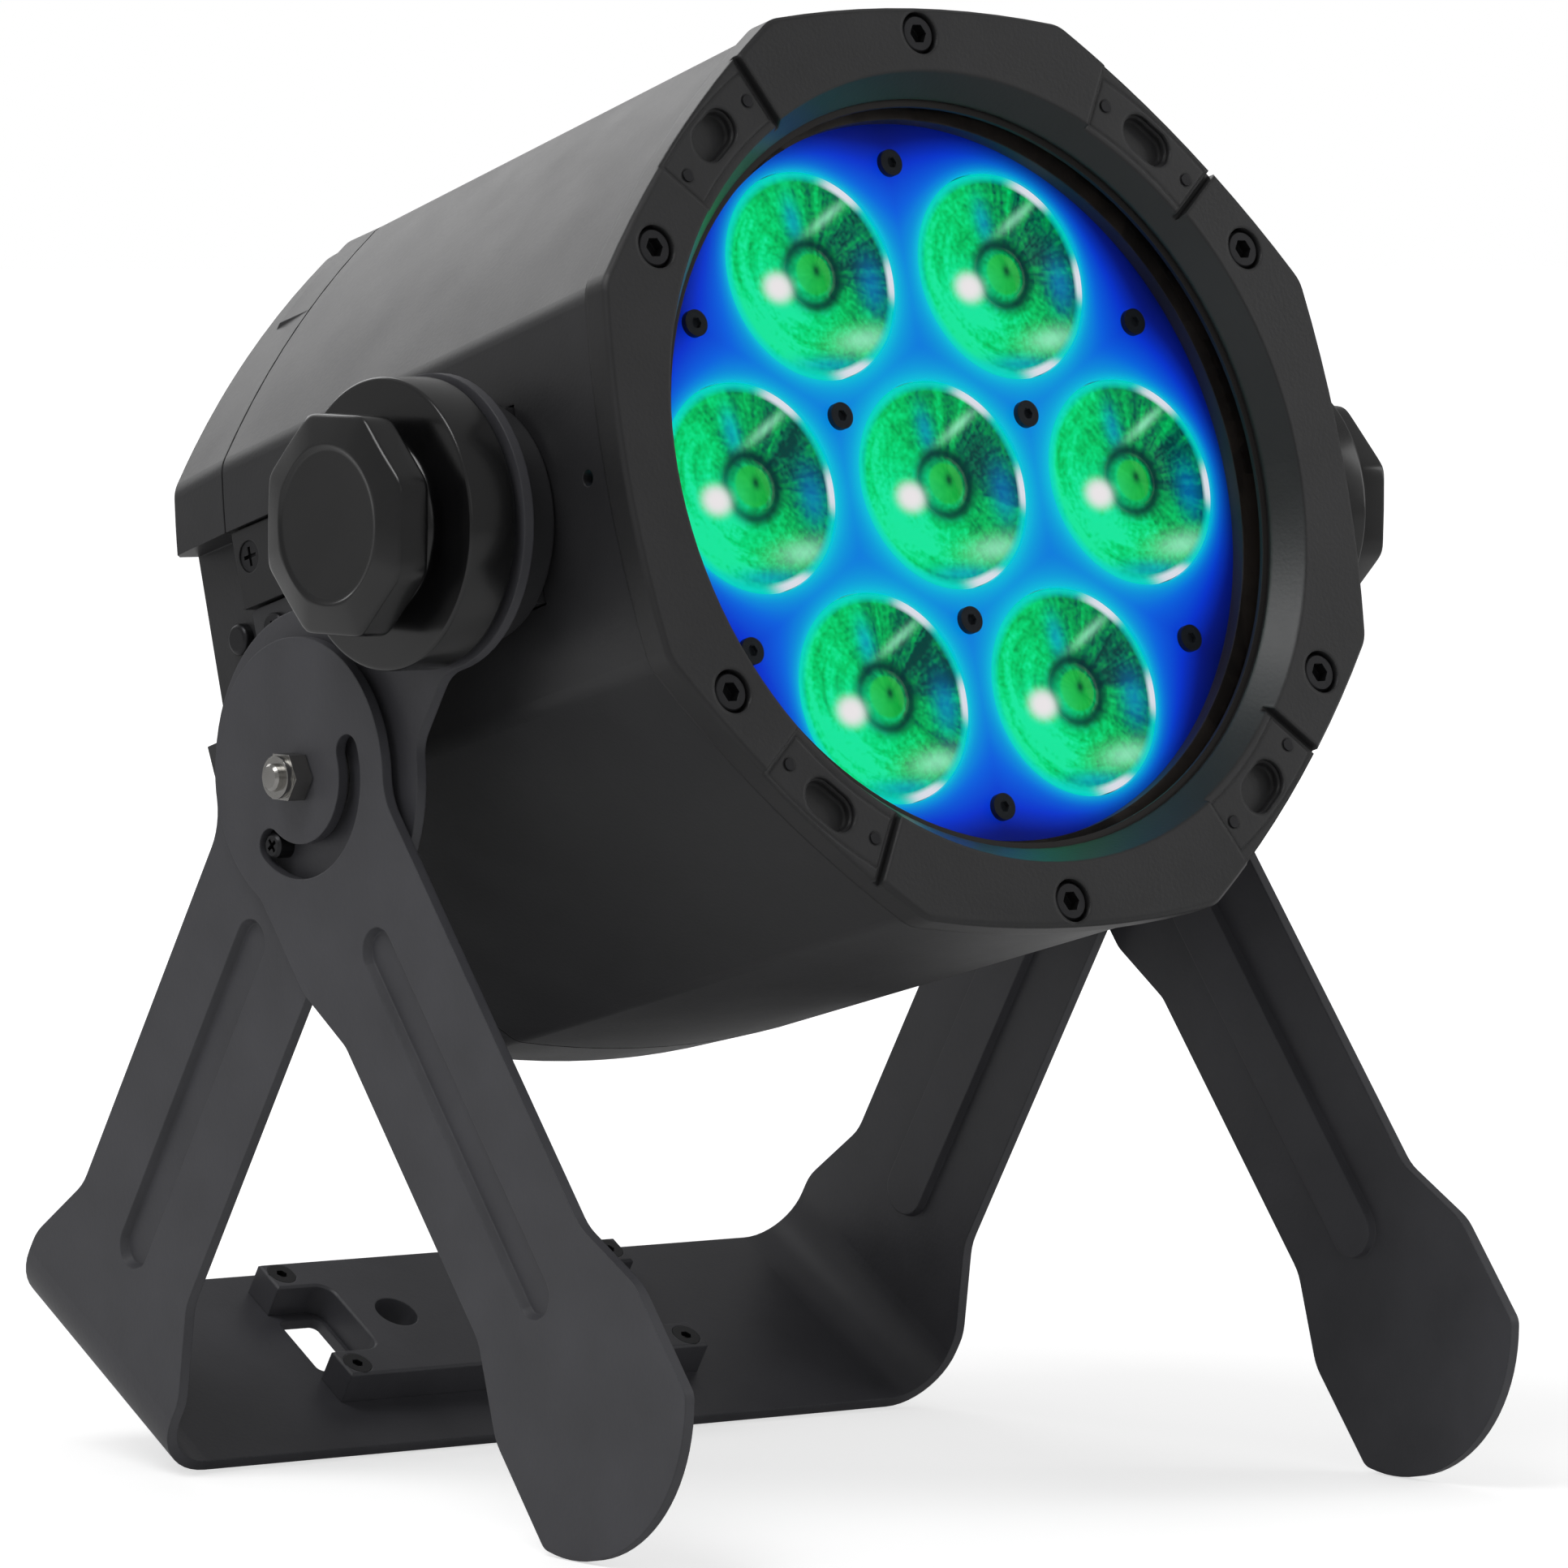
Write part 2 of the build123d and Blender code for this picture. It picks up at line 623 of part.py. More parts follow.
with BuildPart() as trunnion:
    with BuildSketch(side(channel_floor)):
        Rectangle(2 * (channel_front - slide_gap), 2 * (channel_half - slide_gap))
    extrude(amount=trunnion_base)
    with BuildSketch(side(channel_floor + trunnion_base)):
        Circle(trunnion_boss_r)
    extrude(amount=boss_face - channel_floor - trunnion_base)
    chamfer(trunnion.faces().sort_by(Axis.X)[-1].edges(), 0.8)
    with BuildSketch(side(boss_face)):
        Circle(bearing_r)
    extrude(amount=sheet + face_gap)
    with BuildSketch(side(knob_screw_start - 2)):
        Circle(knob_screw_r + running)
    extrude(amount=yoke_outer - knob_screw_start + 3, mode=Mode.SUBTRACT)
    with BuildSketch(side(channel_floor)):
        with Locations(*trunnion_spots):
            Circle(trunnion_screw_r)
    extrude(amount=8, mode=Mode.SUBTRACT)
save_mirrored(trunnion, "trunnion")

with BuildPart() as trunnion_screws:
    with BuildSketch(side(channel_floor - barrel_wall - 3)):
        with Locations(*trunnion_spots):
            Circle(1.7 * trunnion_screw_r)
    extrude(amount=3)
    with BuildSketch(side(channel_floor - barrel_wall)):
        with Locations(*trunnion_spots):
            Circle(trunnion_screw_r)
    extrude(amount=barrel_wall + 7.5)
    mirror(about=Plane.YZ)
save(trunnion_screws, "trunnion_screws")

rail_spots = [(u, w * rail_screw_y) for u in (rail_front - rail_screw_inset, rail_rear + rail_screw_inset)
              for w in (-1, 1)]
stop_spot_side = (stop_at, rail_groove_drop)
rail_top = channel_floor + rail_height
stop_floor = rail_top - rail_groove_depth

with BuildPart() as side_rail:
    with BuildSketch(side(channel_floor)):
        with Locations(((rail_front + rail_rear) / 2, 0)):
            Rectangle(rail_front - rail_rear, 2 * (channel_half - slide_gap))
    extrude(amount=rail_height)
    with BuildSketch(side(rail_top)):
        with Locations(((rail_front + rail_rear) / 2, rail_groove_drop)):
            Rectangle(rail_front - rail_rear + 2, 2 * rail_groove_half)
    extrude(amount=-rail_groove_depth, mode=Mode.SUBTRACT)
    with BuildSketch(side(channel_floor)):
        with Locations(*rail_spots):
            Circle(rail_screw_r)
    extrude(amount=rail_height, mode=Mode.SUBTRACT)
    with BuildSketch(side(rail_top)):
        with Locations(*rail_spots):
            Circle(rail_head_r)
    extrude(amount=-rail_head_depth, mode=Mode.SUBTRACT)
save_mirrored(side_rail, "side_rail")

with BuildPart() as rail_screws:
    with BuildSketch(side(channel_floor)):
        with Locations(*rail_spots):
            Circle(rail_screw_r)
    extrude(amount=rail_height - 0.3)
    with BuildSketch(side(rail_top - 0.3)):
        with Locations(*rail_spots):
            Circle(rail_head_r - 0.1)
    extrude(amount=0.3 - rail_head_depth)
    with BuildSketch(side(rail_top)):
        with Locations(*rail_spots):
            Rectangle(4.4, 0.9)
            Rectangle(0.9, 4.4)
    extrude(amount=-1.4, mode=Mode.SUBTRACT)
    mirror(about=Plane.YZ)
save(rail_screws, "rail_screws")

with BuildPart() as rail_stops:
    with BuildSketch(side(stop_floor)):
        with Locations(stop_spot_side):
            RectangleRounded(stop_length, stop_width, 1.5)
            Circle(rail_screw_r, mode=Mode.SUBTRACT)
    extrude(amount=stop_thick)
    mirror(about=Plane.YZ)
save(rail_stops, "rail_stops")

with BuildPart() as stop_plate_screws:
    with BuildSketch(side(stop_floor)):
        with Locations(stop_spot_side):
            Circle(rail_screw_r)
    extrude(amount=stop_thick)
    with BuildSketch(side(stop_floor + stop_thick)):
        with Locations(stop_spot_side):
            Circle(rail_head_r)
    extrude(amount=1.4)
    chamfer(stop_plate_screws.faces().sort_by(Axis.X)[-1].edges(), 0.4)
    with BuildSketch(side(stop_floor + stop_thick + 1.4)):
        with Locations(stop_spot_side):
            Rectangle(3.6, 0.8)
            Rectangle(0.8, 3.6)
    extrude(amount=-1.0, mode=Mode.SUBTRACT)
    mirror(about=Plane.YZ)
save(stop_plate_screws, "stop_plate_screws")

# ================================================================ front of the head
screw_spots = [polar(screw_circle_r, 30 + 60 * i) for i in range(6)]
pad_screw_spots = [polar(pad_window_r, a + s * pad_screw_span) for a in pad_angles for s in (-1, 1)]
pad_windows = [Location((*polar(pad_window_r, a), 0), (0, 0, a + 90)) for a in pad_angles]
pad_seats = [(pad_inner_r, pad_outer_r, a - pad_span / 2 + pad_margin, pad_span - 2 * pad_margin)
             for a in pad_angles]

with BuildPart() as bezel:
    with BuildSketch(optic(bezel_front)):
        add(octagon(0))
    extrude(amount=-bezel_flange)
    chamfer(bezel.faces().sort_by(AHEAD)[-1].edges(), 0.8)
    with BuildSketch(optic(bezel_front - bezel_flange)):
        Circle(spigot_r)
    extrude(amount=-spigot_depth)
    with BuildSketch(turning()):
        with BuildLine():
            Polyline((0, bezel_front + 1), (face_r, bezel_front + 1), (face_r, bezel_front),
                     (throat_r, bezel_front - throat_depth + throat_land),
                     (throat_r, bezel_front - throat_depth), (glass_r + glass_clear, bezel_front - throat_depth),
                     (glass_r + glass_clear, bezel_front - bezel_flange - spigot_depth - 1),
                     (0, bezel_front - bezel_flange - spigot_depth - 1), close=True)
        make_face()
    revolve(axis=Axis(optic(0).origin, HEAD.z_dir), mode=Mode.SUBTRACT)
    with BuildSketch(optic(bezel_front)):
        for angle in pad_angles:
            add(sector(face_r - 6, bezel_corner_r + 4, angle - pad_span / 2, pad_span))
    extrude(amount=pad_plate - pad_depth, mode=Mode.SUBTRACT)
    with BuildSketch(optic(bezel_front)):
        for seat in pad_seats:
            add(sector(*seat))
    extrude(amount=-pad_depth, mode=Mode.SUBTRACT)
    with BuildSketch(optic(bezel_front)):
        with Locations(*pad_windows):
            SlotOverall(pad_window_long - 1, pad_window_wide - 1)
    extrude(amount=-pad_depth - pad_window_depth, mode=Mode.SUBTRACT)
    with BuildSketch(optic(bezel_front)):
        with Locations(*[Location((*polar((face_r + bezel_corner_r) / 2, a), 0), (0, 0, a))
                         for a in groove_angles]):
            Rectangle(bezel_corner_r - face_r + 8, groove_width)
    extrude(amount=-pad_depth, mode=Mode.SUBTRACT)
    with BuildSketch(optic(bezel_front)):
        with Locations(*screw_spots):
            Circle(bezel_bore_r)
    extrude(amount=-bezel_bore_depth, mode=Mode.SUBTRACT)
    with BuildSketch(optic(bezel_front)):
        with Locations(*screw_spots):
            Circle(bezel_screw_r)
    extrude(amount=-bezel_flange, mode=Mode.SUBTRACT)
save(bezel, "bezel")

with BuildPart() as accessory_plates:
    with BuildSketch(optic(bezel_front - pad_depth)):
        for seat in pad_seats:
            add(sector(*seat))
    extrude(amount=pad_plate)
    with BuildSketch(optic(bezel_front - pad_depth)):
        with Locations(*pad_windows):
            SlotOverall(pad_window_long, pad_window_wide)
        with Locations(*pad_screw_spots):
            Circle(pad_screw_r)
    extrude(amount=pad_plate, mode=Mode.SUBTRACT)
save(accessory_plates, "accessory_plates")

with BuildPart() as accessory_screws:
    with BuildSketch(optic(bezel_front - pad_depth)):
        with Locations(*pad_screw_spots):
            Circle(pad_screw_r)
    extrude(amount=pad_plate + 0.3)
save(accessory_screws, "accessory_screws")

with BuildPart() as bezel_screws:
    with BuildSketch(optic(bezel_front - 0.6)):
        with Locations(*screw_spots):
            Circle(bezel_head_r)
    extrude(amount=0.6 - bezel_bore_depth)
    chamfer(bezel_screws.faces().group_by(AHEAD)[-1].edges(), 0.4)
    with BuildSketch(optic(bezel_front - bezel_bore_depth)):
        with Locations(*screw_spots):
            Circle(bezel_screw_r)
    extrude(amount=-bezel_screw_length)
    with BuildSketch(optic(bezel_front)):
        with Locations(*screw_spots):
            RegularPolygon(hex_socket_r, 6)
    extrude(amount=-3.4, mode=Mode.SUBTRACT)
save(bezel_screws, "bezel_screws")

with BuildPart() as bezel_seal:
    with BuildSketch(optic(barrel_front)):
        add(octagon(barrel_step + 1))
        Circle(spigot_r, mode=Mode.SUBTRACT)
        with Locations(*screw_spots):
            Circle(bezel_screw_r, mode=Mode.SUBTRACT)
    extrude(amount=seal_thick)
save(bezel_seal, "bezel_seal")

bore_r = glass_r + glass_clear
glass_top = bezel_front - throat_depth - gasket_thick
with BuildPart() as glass_gasket:
    with BuildSketch(optic(bezel_front - throat_depth)):
        Circle(bore_r)
        Circle(throat_r - gasket_lip, mode=Mode.SUBTRACT)
    extrude(amount=-gasket_thick)
save(glass_gasket, "glass_gasket")

with BuildPart() as front_glass:
    with BuildSketch(optic(glass_top)):
        Circle(glass_r)
    extrude(amount=-glass_thick)
save(front_glass, "front_glass")

with BuildPart() as glass_retainer:
    with BuildSketch(optic(glass_top - glass_thick)):
        Circle(bore_r)
        Circle(throat_r - retainer_lip, mode=Mode.SUBTRACT)
    extrude(amount=-retainer_thick)
save(glass_retainer, "glass_retainer")

# ================================================================ light engine
plate_front = bezel_front - optic_depth
board_front = plate_front - lens_height
sink_front = board_front - board_thick
lens_spots = [(0, 0)] + [polar(lens_ring_r, 60 * i) for i in range(6)]
sink_spots = [polar(sink_screw_ring, 30 + 60 * i) for i in range(6)]
plate_screw_spots = [polar(outer_screw_ring, 30 + 60 * i) for i in range(6)]
plate_screw_spots += [polar(inner_screw_ring, 30 + 120 * i) for i in range(3)]

with BuildPart() as lens_plate:
    with BuildSketch(optic(plate_front)):
        Circle(lens_plate_r)
        with Locations(*lens_spots):
            Circle(lens_r + lens_clear, mode=Mode.SUBTRACT)
        with Locations(*plate_screw_spots):
            Circle(plate_screw_r, mode=Mode.SUBTRACT)
    extrude(amount=-lens_plate_thick)
save(lens_plate, "lens_plate")

with BuildPart() as lens_screws:
    with BuildSketch(optic(plate_front)):
        with Locations(*plate_screw_spots):
            Circle(2 * plate_screw_r)
    extrude(amount=1.4)
    with BuildSketch(optic(plate_front)):
        with Locations(*plate_screw_spots):
            Circle(plate_screw_r)
    extrude(amount=-plate_screw_length)
    with BuildSketch(optic(plate_front + 1.4)):
        with Locations(*plate_screw_spots):
            RegularPolygon(1.3, 6)
    extrude(amount=-1.0, mode=Mode.SUBTRACT)
save(lens_screws, "lens_screws")

with BuildPart() as lens_posts:
    with BuildSketch(optic(board_front)):
        with Locations(*plate_screw_spots):
            Circle(post_r)
    extrude(amount=lens_height - lens_plate_thick)
    with BuildSketch(optic(plate_front)):
        with Locations(*plate_screw_spots):
            Circle(plate_screw_r)
    extrude(amount=-plate_screw_length, mode=Mode.SUBTRACT)
save(lens_posts, "lens_posts")

with BuildPart() as lenses:
    for spot in lens_spots:
        with BuildSketch(turning(*spot)):
            with BuildLine():
                Polyline((lens_tip_r, board_front), (lens_eye_r, board_front),
                         (lens_eye_r - 1, board_front + lens_eye_depth), (0, board_front + lens_eye_depth),
                         (0, plate_front - lens_pip_depth), (0.7 * lens_pip_r, plate_front - lens_pip_depth),
                         (lens_pip_r, plate_front), (lens_r - 0.6, plate_front),
                         (lens_r, plate_front - 0.6), (lens_r, plate_front - lens_edge))
                ThreePointArc((lens_r, plate_front - lens_edge), (0.78 * lens_r, plate_front - 0.5 * lens_height),
                              (lens_tip_r, board_front))
            make_face()
        revolve(axis=Axis(turning(*spot).origin, HEAD.z_dir))
save(lenses, "lenses")

with BuildPart() as led_board:
    with BuildSketch(optic(board_front)):
        Circle(sink_r - 1)
    extrude(amount=-board_thick)
save(led_board, "led_board")

with BuildPart() as led_emitters:
    with BuildSketch(optic(board_front)):
        with Locations(*lens_spots):
            Rectangle(led_size, led_size)
    extrude(amount=led_height)
    with BuildSketch(optic(board_front + led_height)):
        with Locations(*lens_spots):
            Circle(0.42 * led_size)
    extrude(amount=led_dome)
save(led_emitters, "led_emitters")

with BuildPart() as heat_sink:
    with BuildSketch(optic(sink_front)):
        Circle(sink_r)
        with PolarLocations(sink_screw_ring / 2, 6, start_angle=30):
            Rectangle(sink_screw_ring, 2 * sink_ear_r)
        with Locations(*sink_spots):
            Circle(sink_ear_r)
            Circle(sink_screw_r, mode=Mode.SUBTRACT)
    extrude(amount=-sink_base)
    with BuildSketch(optic(sink_front - sink_base)):
        with GridLocations(2 * (sink_r - 8) / (fin_count - 1), 1, fin_count, 1):
            Rectangle(fin_thick, 2 * sink_r)
        Circle(sink_r - fin_inset, mode=Mode.INTERSECT)
    extrude(amount=-sink_fins)
save(heat_sink, "heat_sink")

with BuildPart() as sink_screws:
    with BuildSketch(optic(sink_front - sink_base)):
        with Locations(*sink_spots):
            Circle(1.8 * sink_screw_r)
    extrude(amount=-3)
    with BuildSketch(optic(sink_front - sink_base)):
        with Locations(*sink_spots):
            Circle(sink_screw_r)
    extrude(amount=sink_screw_length)
save(sink_screws, "sink_screws")

chassis_front = sink_front - sink_base - sink_fins
board_back = chassis_front - chassis_thick
with BuildPart() as chassis_plate:
    with BuildSketch(optic(chassis_front)):
        Circle(sink_r - chassis_inset)
        with PolarLocations(sink_r - 14, 4):
            Circle(6, mode=Mode.SUBTRACT)
    extrude(amount=-chassis_thick)
save(chassis_plate, "chassis_plate")

with BuildPart() as power_supply:
    with BuildSketch(optic(board_back, 0, -psu_low)):
        RectangleRounded(psu_size[0], psu_size[1], 3)
    extrude(amount=-psu_size[2])
    chamfer(power_supply.faces().sort_by(AHEAD)[0].edges(), 1.5)
save(power_supply, "power_supply")

with BuildPart() as driver_board:
    with BuildSketch(optic(board_back - driver_gap, 0, driver_high)):
        RectangleRounded(driver_size[0], driver_size[1], 2)
    extrude(amount=-board_sheet)
    with BuildSketch(optic(board_back - driver_gap - board_sheet, 0, driver_high)):
        with GridLocations(driver_size[0] / 4, driver_size[1] / 2, 4, 2):
            Rectangle(10, 8)
    extrude(amount=-7)
    with BuildSketch(optic(board_back, 0, driver_high)):
        with GridLocations(driver_size[0] - 10, driver_size[1] - 10, 2, 2):
            Circle(3)
    extrude(amount=-driver_gap)
save(driver_board, "driver_board")

# ================================================================ barrel
cover_spots = [polar(cover_screw_ring, a) for a in cover_angles]
rear_inset = barrel_step + barrel_draft

with BuildPart() as barrel_cavity:
    with BuildSketch(optic(barrel_front + 0.5)):
        add(octagon(barrel_step + barrel_wall, bezel_round - barrel_wall))
    with BuildSketch(optic(barrel_rear - 0.5)):
        add(octagon(rear_inset + barrel_wall, bezel_round - barrel_wall))
    loft()
    with BuildSketch(optic(sink_front)):
        with Locations(*screw_spots):
            Circle(boss_r)
    extrude(amount=barrel_front - sink_front + 1, mode=Mode.SUBTRACT)
    with BuildSketch(optic(barrel_rear - 0.5)):
        with Locations(*cover_spots):
            Circle(boss_r)
    extrude(amount=cover_screw_length + 2, mode=Mode.SUBTRACT)
    for sign in (-1, 1):
        with BuildSketch(side(sign * (channel_floor - barrel_wall))):
            with Locations(((channel_front + barrel_wall + barrel_rear - 5) / 2, 0)):
                Rectangle(channel_front + barrel_wall - barrel_rear + 5, 2 * (channel_half + barrel_wall))
        extrude(amount=sign * 30, mode=Mode.SUBTRACT)

with BuildPart() as barrel:
    with BuildSketch(optic(barrel_front)):
        add(octagon(barrel_step))
    with BuildSketch(optic(barrel_rear)):
        add(octagon(rear_inset))
    loft()
    add(barrel_cavity.part, mode=Mode.SUBTRACT)
    for sign in (-1, 1):
        with BuildSketch(side(sign * channel_floor)):
            with Locations(((channel_front + barrel_rear - 5) / 2, 0)):
                Rectangle(channel_front - barrel_rear + 5, 2 * channel_half)
        extrude(amount=sign * 30, mode=Mode.SUBTRACT)
        with BuildSketch(side(sign * (channel_floor - barrel_wall - 1))):
            with Locations(*trunnion_spots):
                Circle(trunnion_screw_r)
        extrude(amount=sign * (barrel_wall + 2), mode=Mode.SUBTRACT)
        with BuildSketch(side(sign * (channel_floor + 1))):
            with Locations((side_hole_at, 0)):
                Circle(side_hole_r)
        extrude(amount=sign * 30, mode=Mode.SUBTRACT)
    with BuildSketch(optic(barrel_front)):
        with Locations(*screw_spots):
            Circle(bezel_screw_r)
    extrude(amount=-bezel_screw_length - bezel_bore_depth + bezel_flange + seal_thick, mode=Mode.SUBTRACT)
    with BuildSketch(optic(sink_front)):
        with Locations(*sink_spots):
            Circle(sink_screw_r)
    extrude(amount=sink_screw_length - sink_base, mode=Mode.SUBTRACT)
    with BuildSketch(optic(barrel_rear)):
        with Locations(*cover_spots):
            Circle(cover_screw_r)
    extrude(amount=cover_screw_length, mode=Mode.SUBTRACT)
save(barrel, "barrel")

# ================================================================ rear cover, controls and sockets
cover_front = barrel_rear - cover_seal
panel_floor = cover_back + panel_sink
button_spots = [(button_pitch * (i - 1.5), button_high) for i in range(4)]
socket_places = [(x, socket_low) for x in socket_spots]

with BuildPart() as rear_seal:
    with BuildSketch(optic(cover_front)):
        add(octagon(rear_inset + 0.4))
    extrude(amount=cover_seal)
    with BuildSketch(optic(cover_front)):
        add(octagon(rear_inset + barrel_wall, bezel_round - barrel_wall))
    extrude(amount=cover_seal, mode=Mode.SUBTRACT)
    for sign in (-1, 1):
        with BuildSketch(side(sign * channel_floor)):
            with Locations((cover_front, 0)):
                Rectangle(20, 2 * channel_half)
        extrude(amount=sign * 30, mode=Mode.SUBTRACT)
save(rear_seal, "rear_seal")

def top_block(wall):
    """Block across the top of the rear cover, moved in by a wall."""
    with BuildPart() as block:
        with BuildSketch(optic(cover_front)):
            add(octagon(rear_inset + wall, bezel_round - wall))
        extrude(amount=block_bend - cover_front)
        with BuildSketch(optic(block_bend)):
            add(octagon(rear_inset + wall, bezel_round - wall))
        with BuildSketch(optic(block_back + wall)):
            add(octagon(rear_inset + block_slope + wall, bezel_round - wall))
        loft()
        with BuildSketch(optic(cover_front, 0, (block_low + block_high) / 2)):
            Rectangle(2 * (block_half - wall), block_high - block_low - 2 * wall)
        extrude(amount=block_back - cover_front, mode=Mode.INTERSECT)
    return block.part


with BuildPart() as rear_cavity:
    with BuildSketch(optic(cover_front + 0.5)):
        add(octagon(rear_inset + cover_wall, bezel_round - cover_wall))
    extrude(amount=cover_back - cover_front + cover_wall - 0.5)
    add(top_block(cover_wall))
    with BuildSketch(optic(cover_front + 1)):
        with Locations(*cover_spots):
            Circle(boss_r)
    extrude(amount=-40, mode=Mode.SUBTRACT)
    with BuildSketch(optic(panel_floor + cover_wall)):
        with Locations((0, panel_high)):
            RectangleRounded(panel_x + 2 * cover_wall, panel_w + 2 * cover_wall, 5)
    extrude(amount=-20, mode=Mode.SUBTRACT)
    for sign in (-1, 1):
        with BuildSketch(side(sign * (channel_floor - cover_wall))):
            with Locations((cover_back, 0)):
                Rectangle(60, 2 * (channel_half + cover_wall))
        extrude(amount=sign * 30, mode=Mode.SUBTRACT)

with BuildPart() as rear_cover:
    with BuildSketch(optic(cover_front)):
        add(octagon(rear_inset))
    with BuildSketch(optic(cover_back)):
        add(octagon(rear_inset + cover_draft))
    loft()
    chamfer(rear_cover.faces().sort_by(AHEAD)[0].edges(), 2.0)
    add(top_block(0))
    add(rear_cavity.part, mode=Mode.SUBTRACT)
    with BuildSketch(optic(cover_back - 1)):
        with Locations((0, panel_high)):
            RectangleRounded(panel_x, panel_w, 4)
    extrude(amount=panel_sink + 1, mode=Mode.SUBTRACT)
    for sign in (-1, 1):
        with BuildSketch(side(sign * channel_floor)):
            with Locations((cover_back, 0)):
                Rectangle(60, 2 * channel_half)
        extrude(amount=sign * 30, mode=Mode.SUBTRACT)
    with BuildSketch(optic(cover_back)):
        with Locations(*cover_spots):
            Circle(cover_screw_r)
        with Locations(*socket_places[:2]):
            Circle(power_shell_r)
        with Locations(*socket_places[2:]):
            Circle(data_shell_r)
        with Locations(vent_at):
            Circle(vent_r - 1)
    extrude(amount=30, mode=Mode.SUBTRACT)
    with BuildSketch(optic(cover_back - 1)):
        with Locations(*cover_spots):
            Circle(cover_head_r)
    extrude(amount=1 + cover_wall, mode=Mode.SUBTRACT)
    with BuildSketch(optic(panel_floor)):
        with Locations(*button_spots):
            Circle(button_r + button_clear)
        with Locations((0, window_high)):
            Rectangle(window_size[0] - 3, window_size[1] - 3)
    extrude(amount=cover_wall, mode=Mode.SUBTRACT)
    with BuildSketch(side(0)):
        with Locations(channel_screw_at):
            Circle(rail_screw_r)
    extrude(amount=channel_floor + 1, both=True, mode=Mode.SUBTRACT)
save(rear_cover, "rear_cover")

with BuildPart() as cover_screws:
    with BuildSketch(optic(cover_back + cover_wall)):
        with Locations(*cover_spots):
            Circle(cover_head_r - 0.2)
    extrude(amount=-2.0)
    with BuildSketch(optic(cover_back + cover_wall)):
        with Locations(*cover_spots):
            Circle(cover_screw_r)
    extrude(amount=barrel_rear - cover_back - cover_wall + cover_screw_length - 1)
    with BuildSketch(optic(cover_back)):
        with Locations(*cover_spots):
            Rectangle(4.2, 0.9)
            Rectangle(0.9, 4.2)
    extrude(amount=1.6, mode=Mode.SUBTRACT)
save(cover_screws, "cover_screws")

with BuildPart() as channel_screws:
    with BuildSketch(side(channel_floor - cover_wall)):
        with Locations(channel_screw_at):
            Circle(rail_screw_r)
    extrude(amount=cover_wall)
    with BuildSketch(side(channel_floor)):
        with Locations(channel_screw_at):
            Circle(rail_head_r)
    extrude(amount=2.4)
    fillet(channel_screws.edges().sort_by(Axis.X)[-1], 1.2)
    mirror(about=Plane.YZ)
save(channel_screws, "channel_screws")

with BuildPart() as display_window:
    with BuildSketch(optic(panel_floor - window_thick, 0, window_high)):
        RectangleRounded(window_size[0], window_size[1], 1.5)
    extrude(amount=window_thick)
save(display_window, "display_window")

module_front = panel_floor + cover_wall
with BuildPart() as display_board:
    with BuildSketch(optic(module_front, 0, panel_high)):
        with Locations((0, window_high - panel_high)):
            Rectangle(window_size[0] - 1, window_size[1] - 1)
    extrude(amount=3)
    with BuildSketch(optic(module_front + 3, 0, panel_high)):
        RectangleRounded(panel_x - 12, panel_w - 6, 2)
    extrude(amount=board_sheet)
    with BuildSketch(optic(module_front, 0, panel_high)):
        with GridLocations(panel_x - 20, panel_w - 14, 2, 2):
            Circle(2.5)
    extrude(amount=3)
save(display_board, "display_board")

for number, spot in enumerate(button_spots, 1):
    with BuildPart() as menu_button:
        with BuildSketch(optic(panel_floor - button_reach)):
            with Locations(spot):
                Circle(button_r)
        extrude(amount=button_reach + cover_wall - 1)
        chamfer(menu_button.faces().sort_by(AHEAD)[0].edges(), 0.5)
        with BuildSketch(optic(module_front - 1)):
            with Locations(spot):
                Circle(0.4 * button_r)
        extrude(amount=3 - button_travel)
    save(menu_button, f"menu_button_{number}")

socket_names = ("power_in", "power_out", "data_in", "data_out")
socket_shells = (power_shell_r, power_shell_r, data_shell_r, data_shell_r)
for name, spot, shell_r in zip(socket_names, socket_places, socket_shells):
    with BuildPart() as socket:
        with BuildSketch(optic(cover_back)):
            with Locations(spot):
                RectangleRounded(2 * shell_r + 6, 2 * shell_r + 6, 3)
        extrude(amount=-socket_flange)
        with BuildSketch(optic(cover_back)):
            with Locations(spot):
                Circle(shell_r)
        extrude(amount=socket_body)
        with BuildSketch(optic(cover_back - socket_flange)):
            with Locations(spot):
                Circle(shell_r)
        extrude(amount=socket_flange - socket_reach)
        chamfer(socket.faces().sort_by(AHEAD)[0].edges(), 0.5)
        with BuildSketch(optic(cover_back - socket_reach)):
            with Locations(spot):
                Circle(shell_r - 2)
                Circle(shell_r - 5, mode=Mode.SUBTRACT)
        extrude(amount=socket_reach, mode=Mode.SUBTRACT)
        with BuildSketch(optic(cover_back - socket_reach)):
            with Locations(spot):
                with PolarLocations(0.5 * (shell_r - 5), 3):
                    Circle(0.8)
        extrude(amount=5, mode=Mode.SUBTRACT)
    save(socket, name)

with BuildPart() as vent_plug:
    with BuildSketch(optic(cover_back)):
        with Locations(vent_at):
            RegularPolygon(vent_r + 2, 6)
    extrude(amount=-4)
    with BuildSketch(optic(cover_back)):
        with Locations(vent_at):
            Circle(vent_r - 1)
    extrude(amount=cover_wall + 3)
    with BuildSketch(optic(cover_back - 4)):
        with Locations(vent_at):
            Circle(1.2)
    extrude(amount=3, mode=Mode.SUBTRACT)
save(vent_plug, "vent_plug")

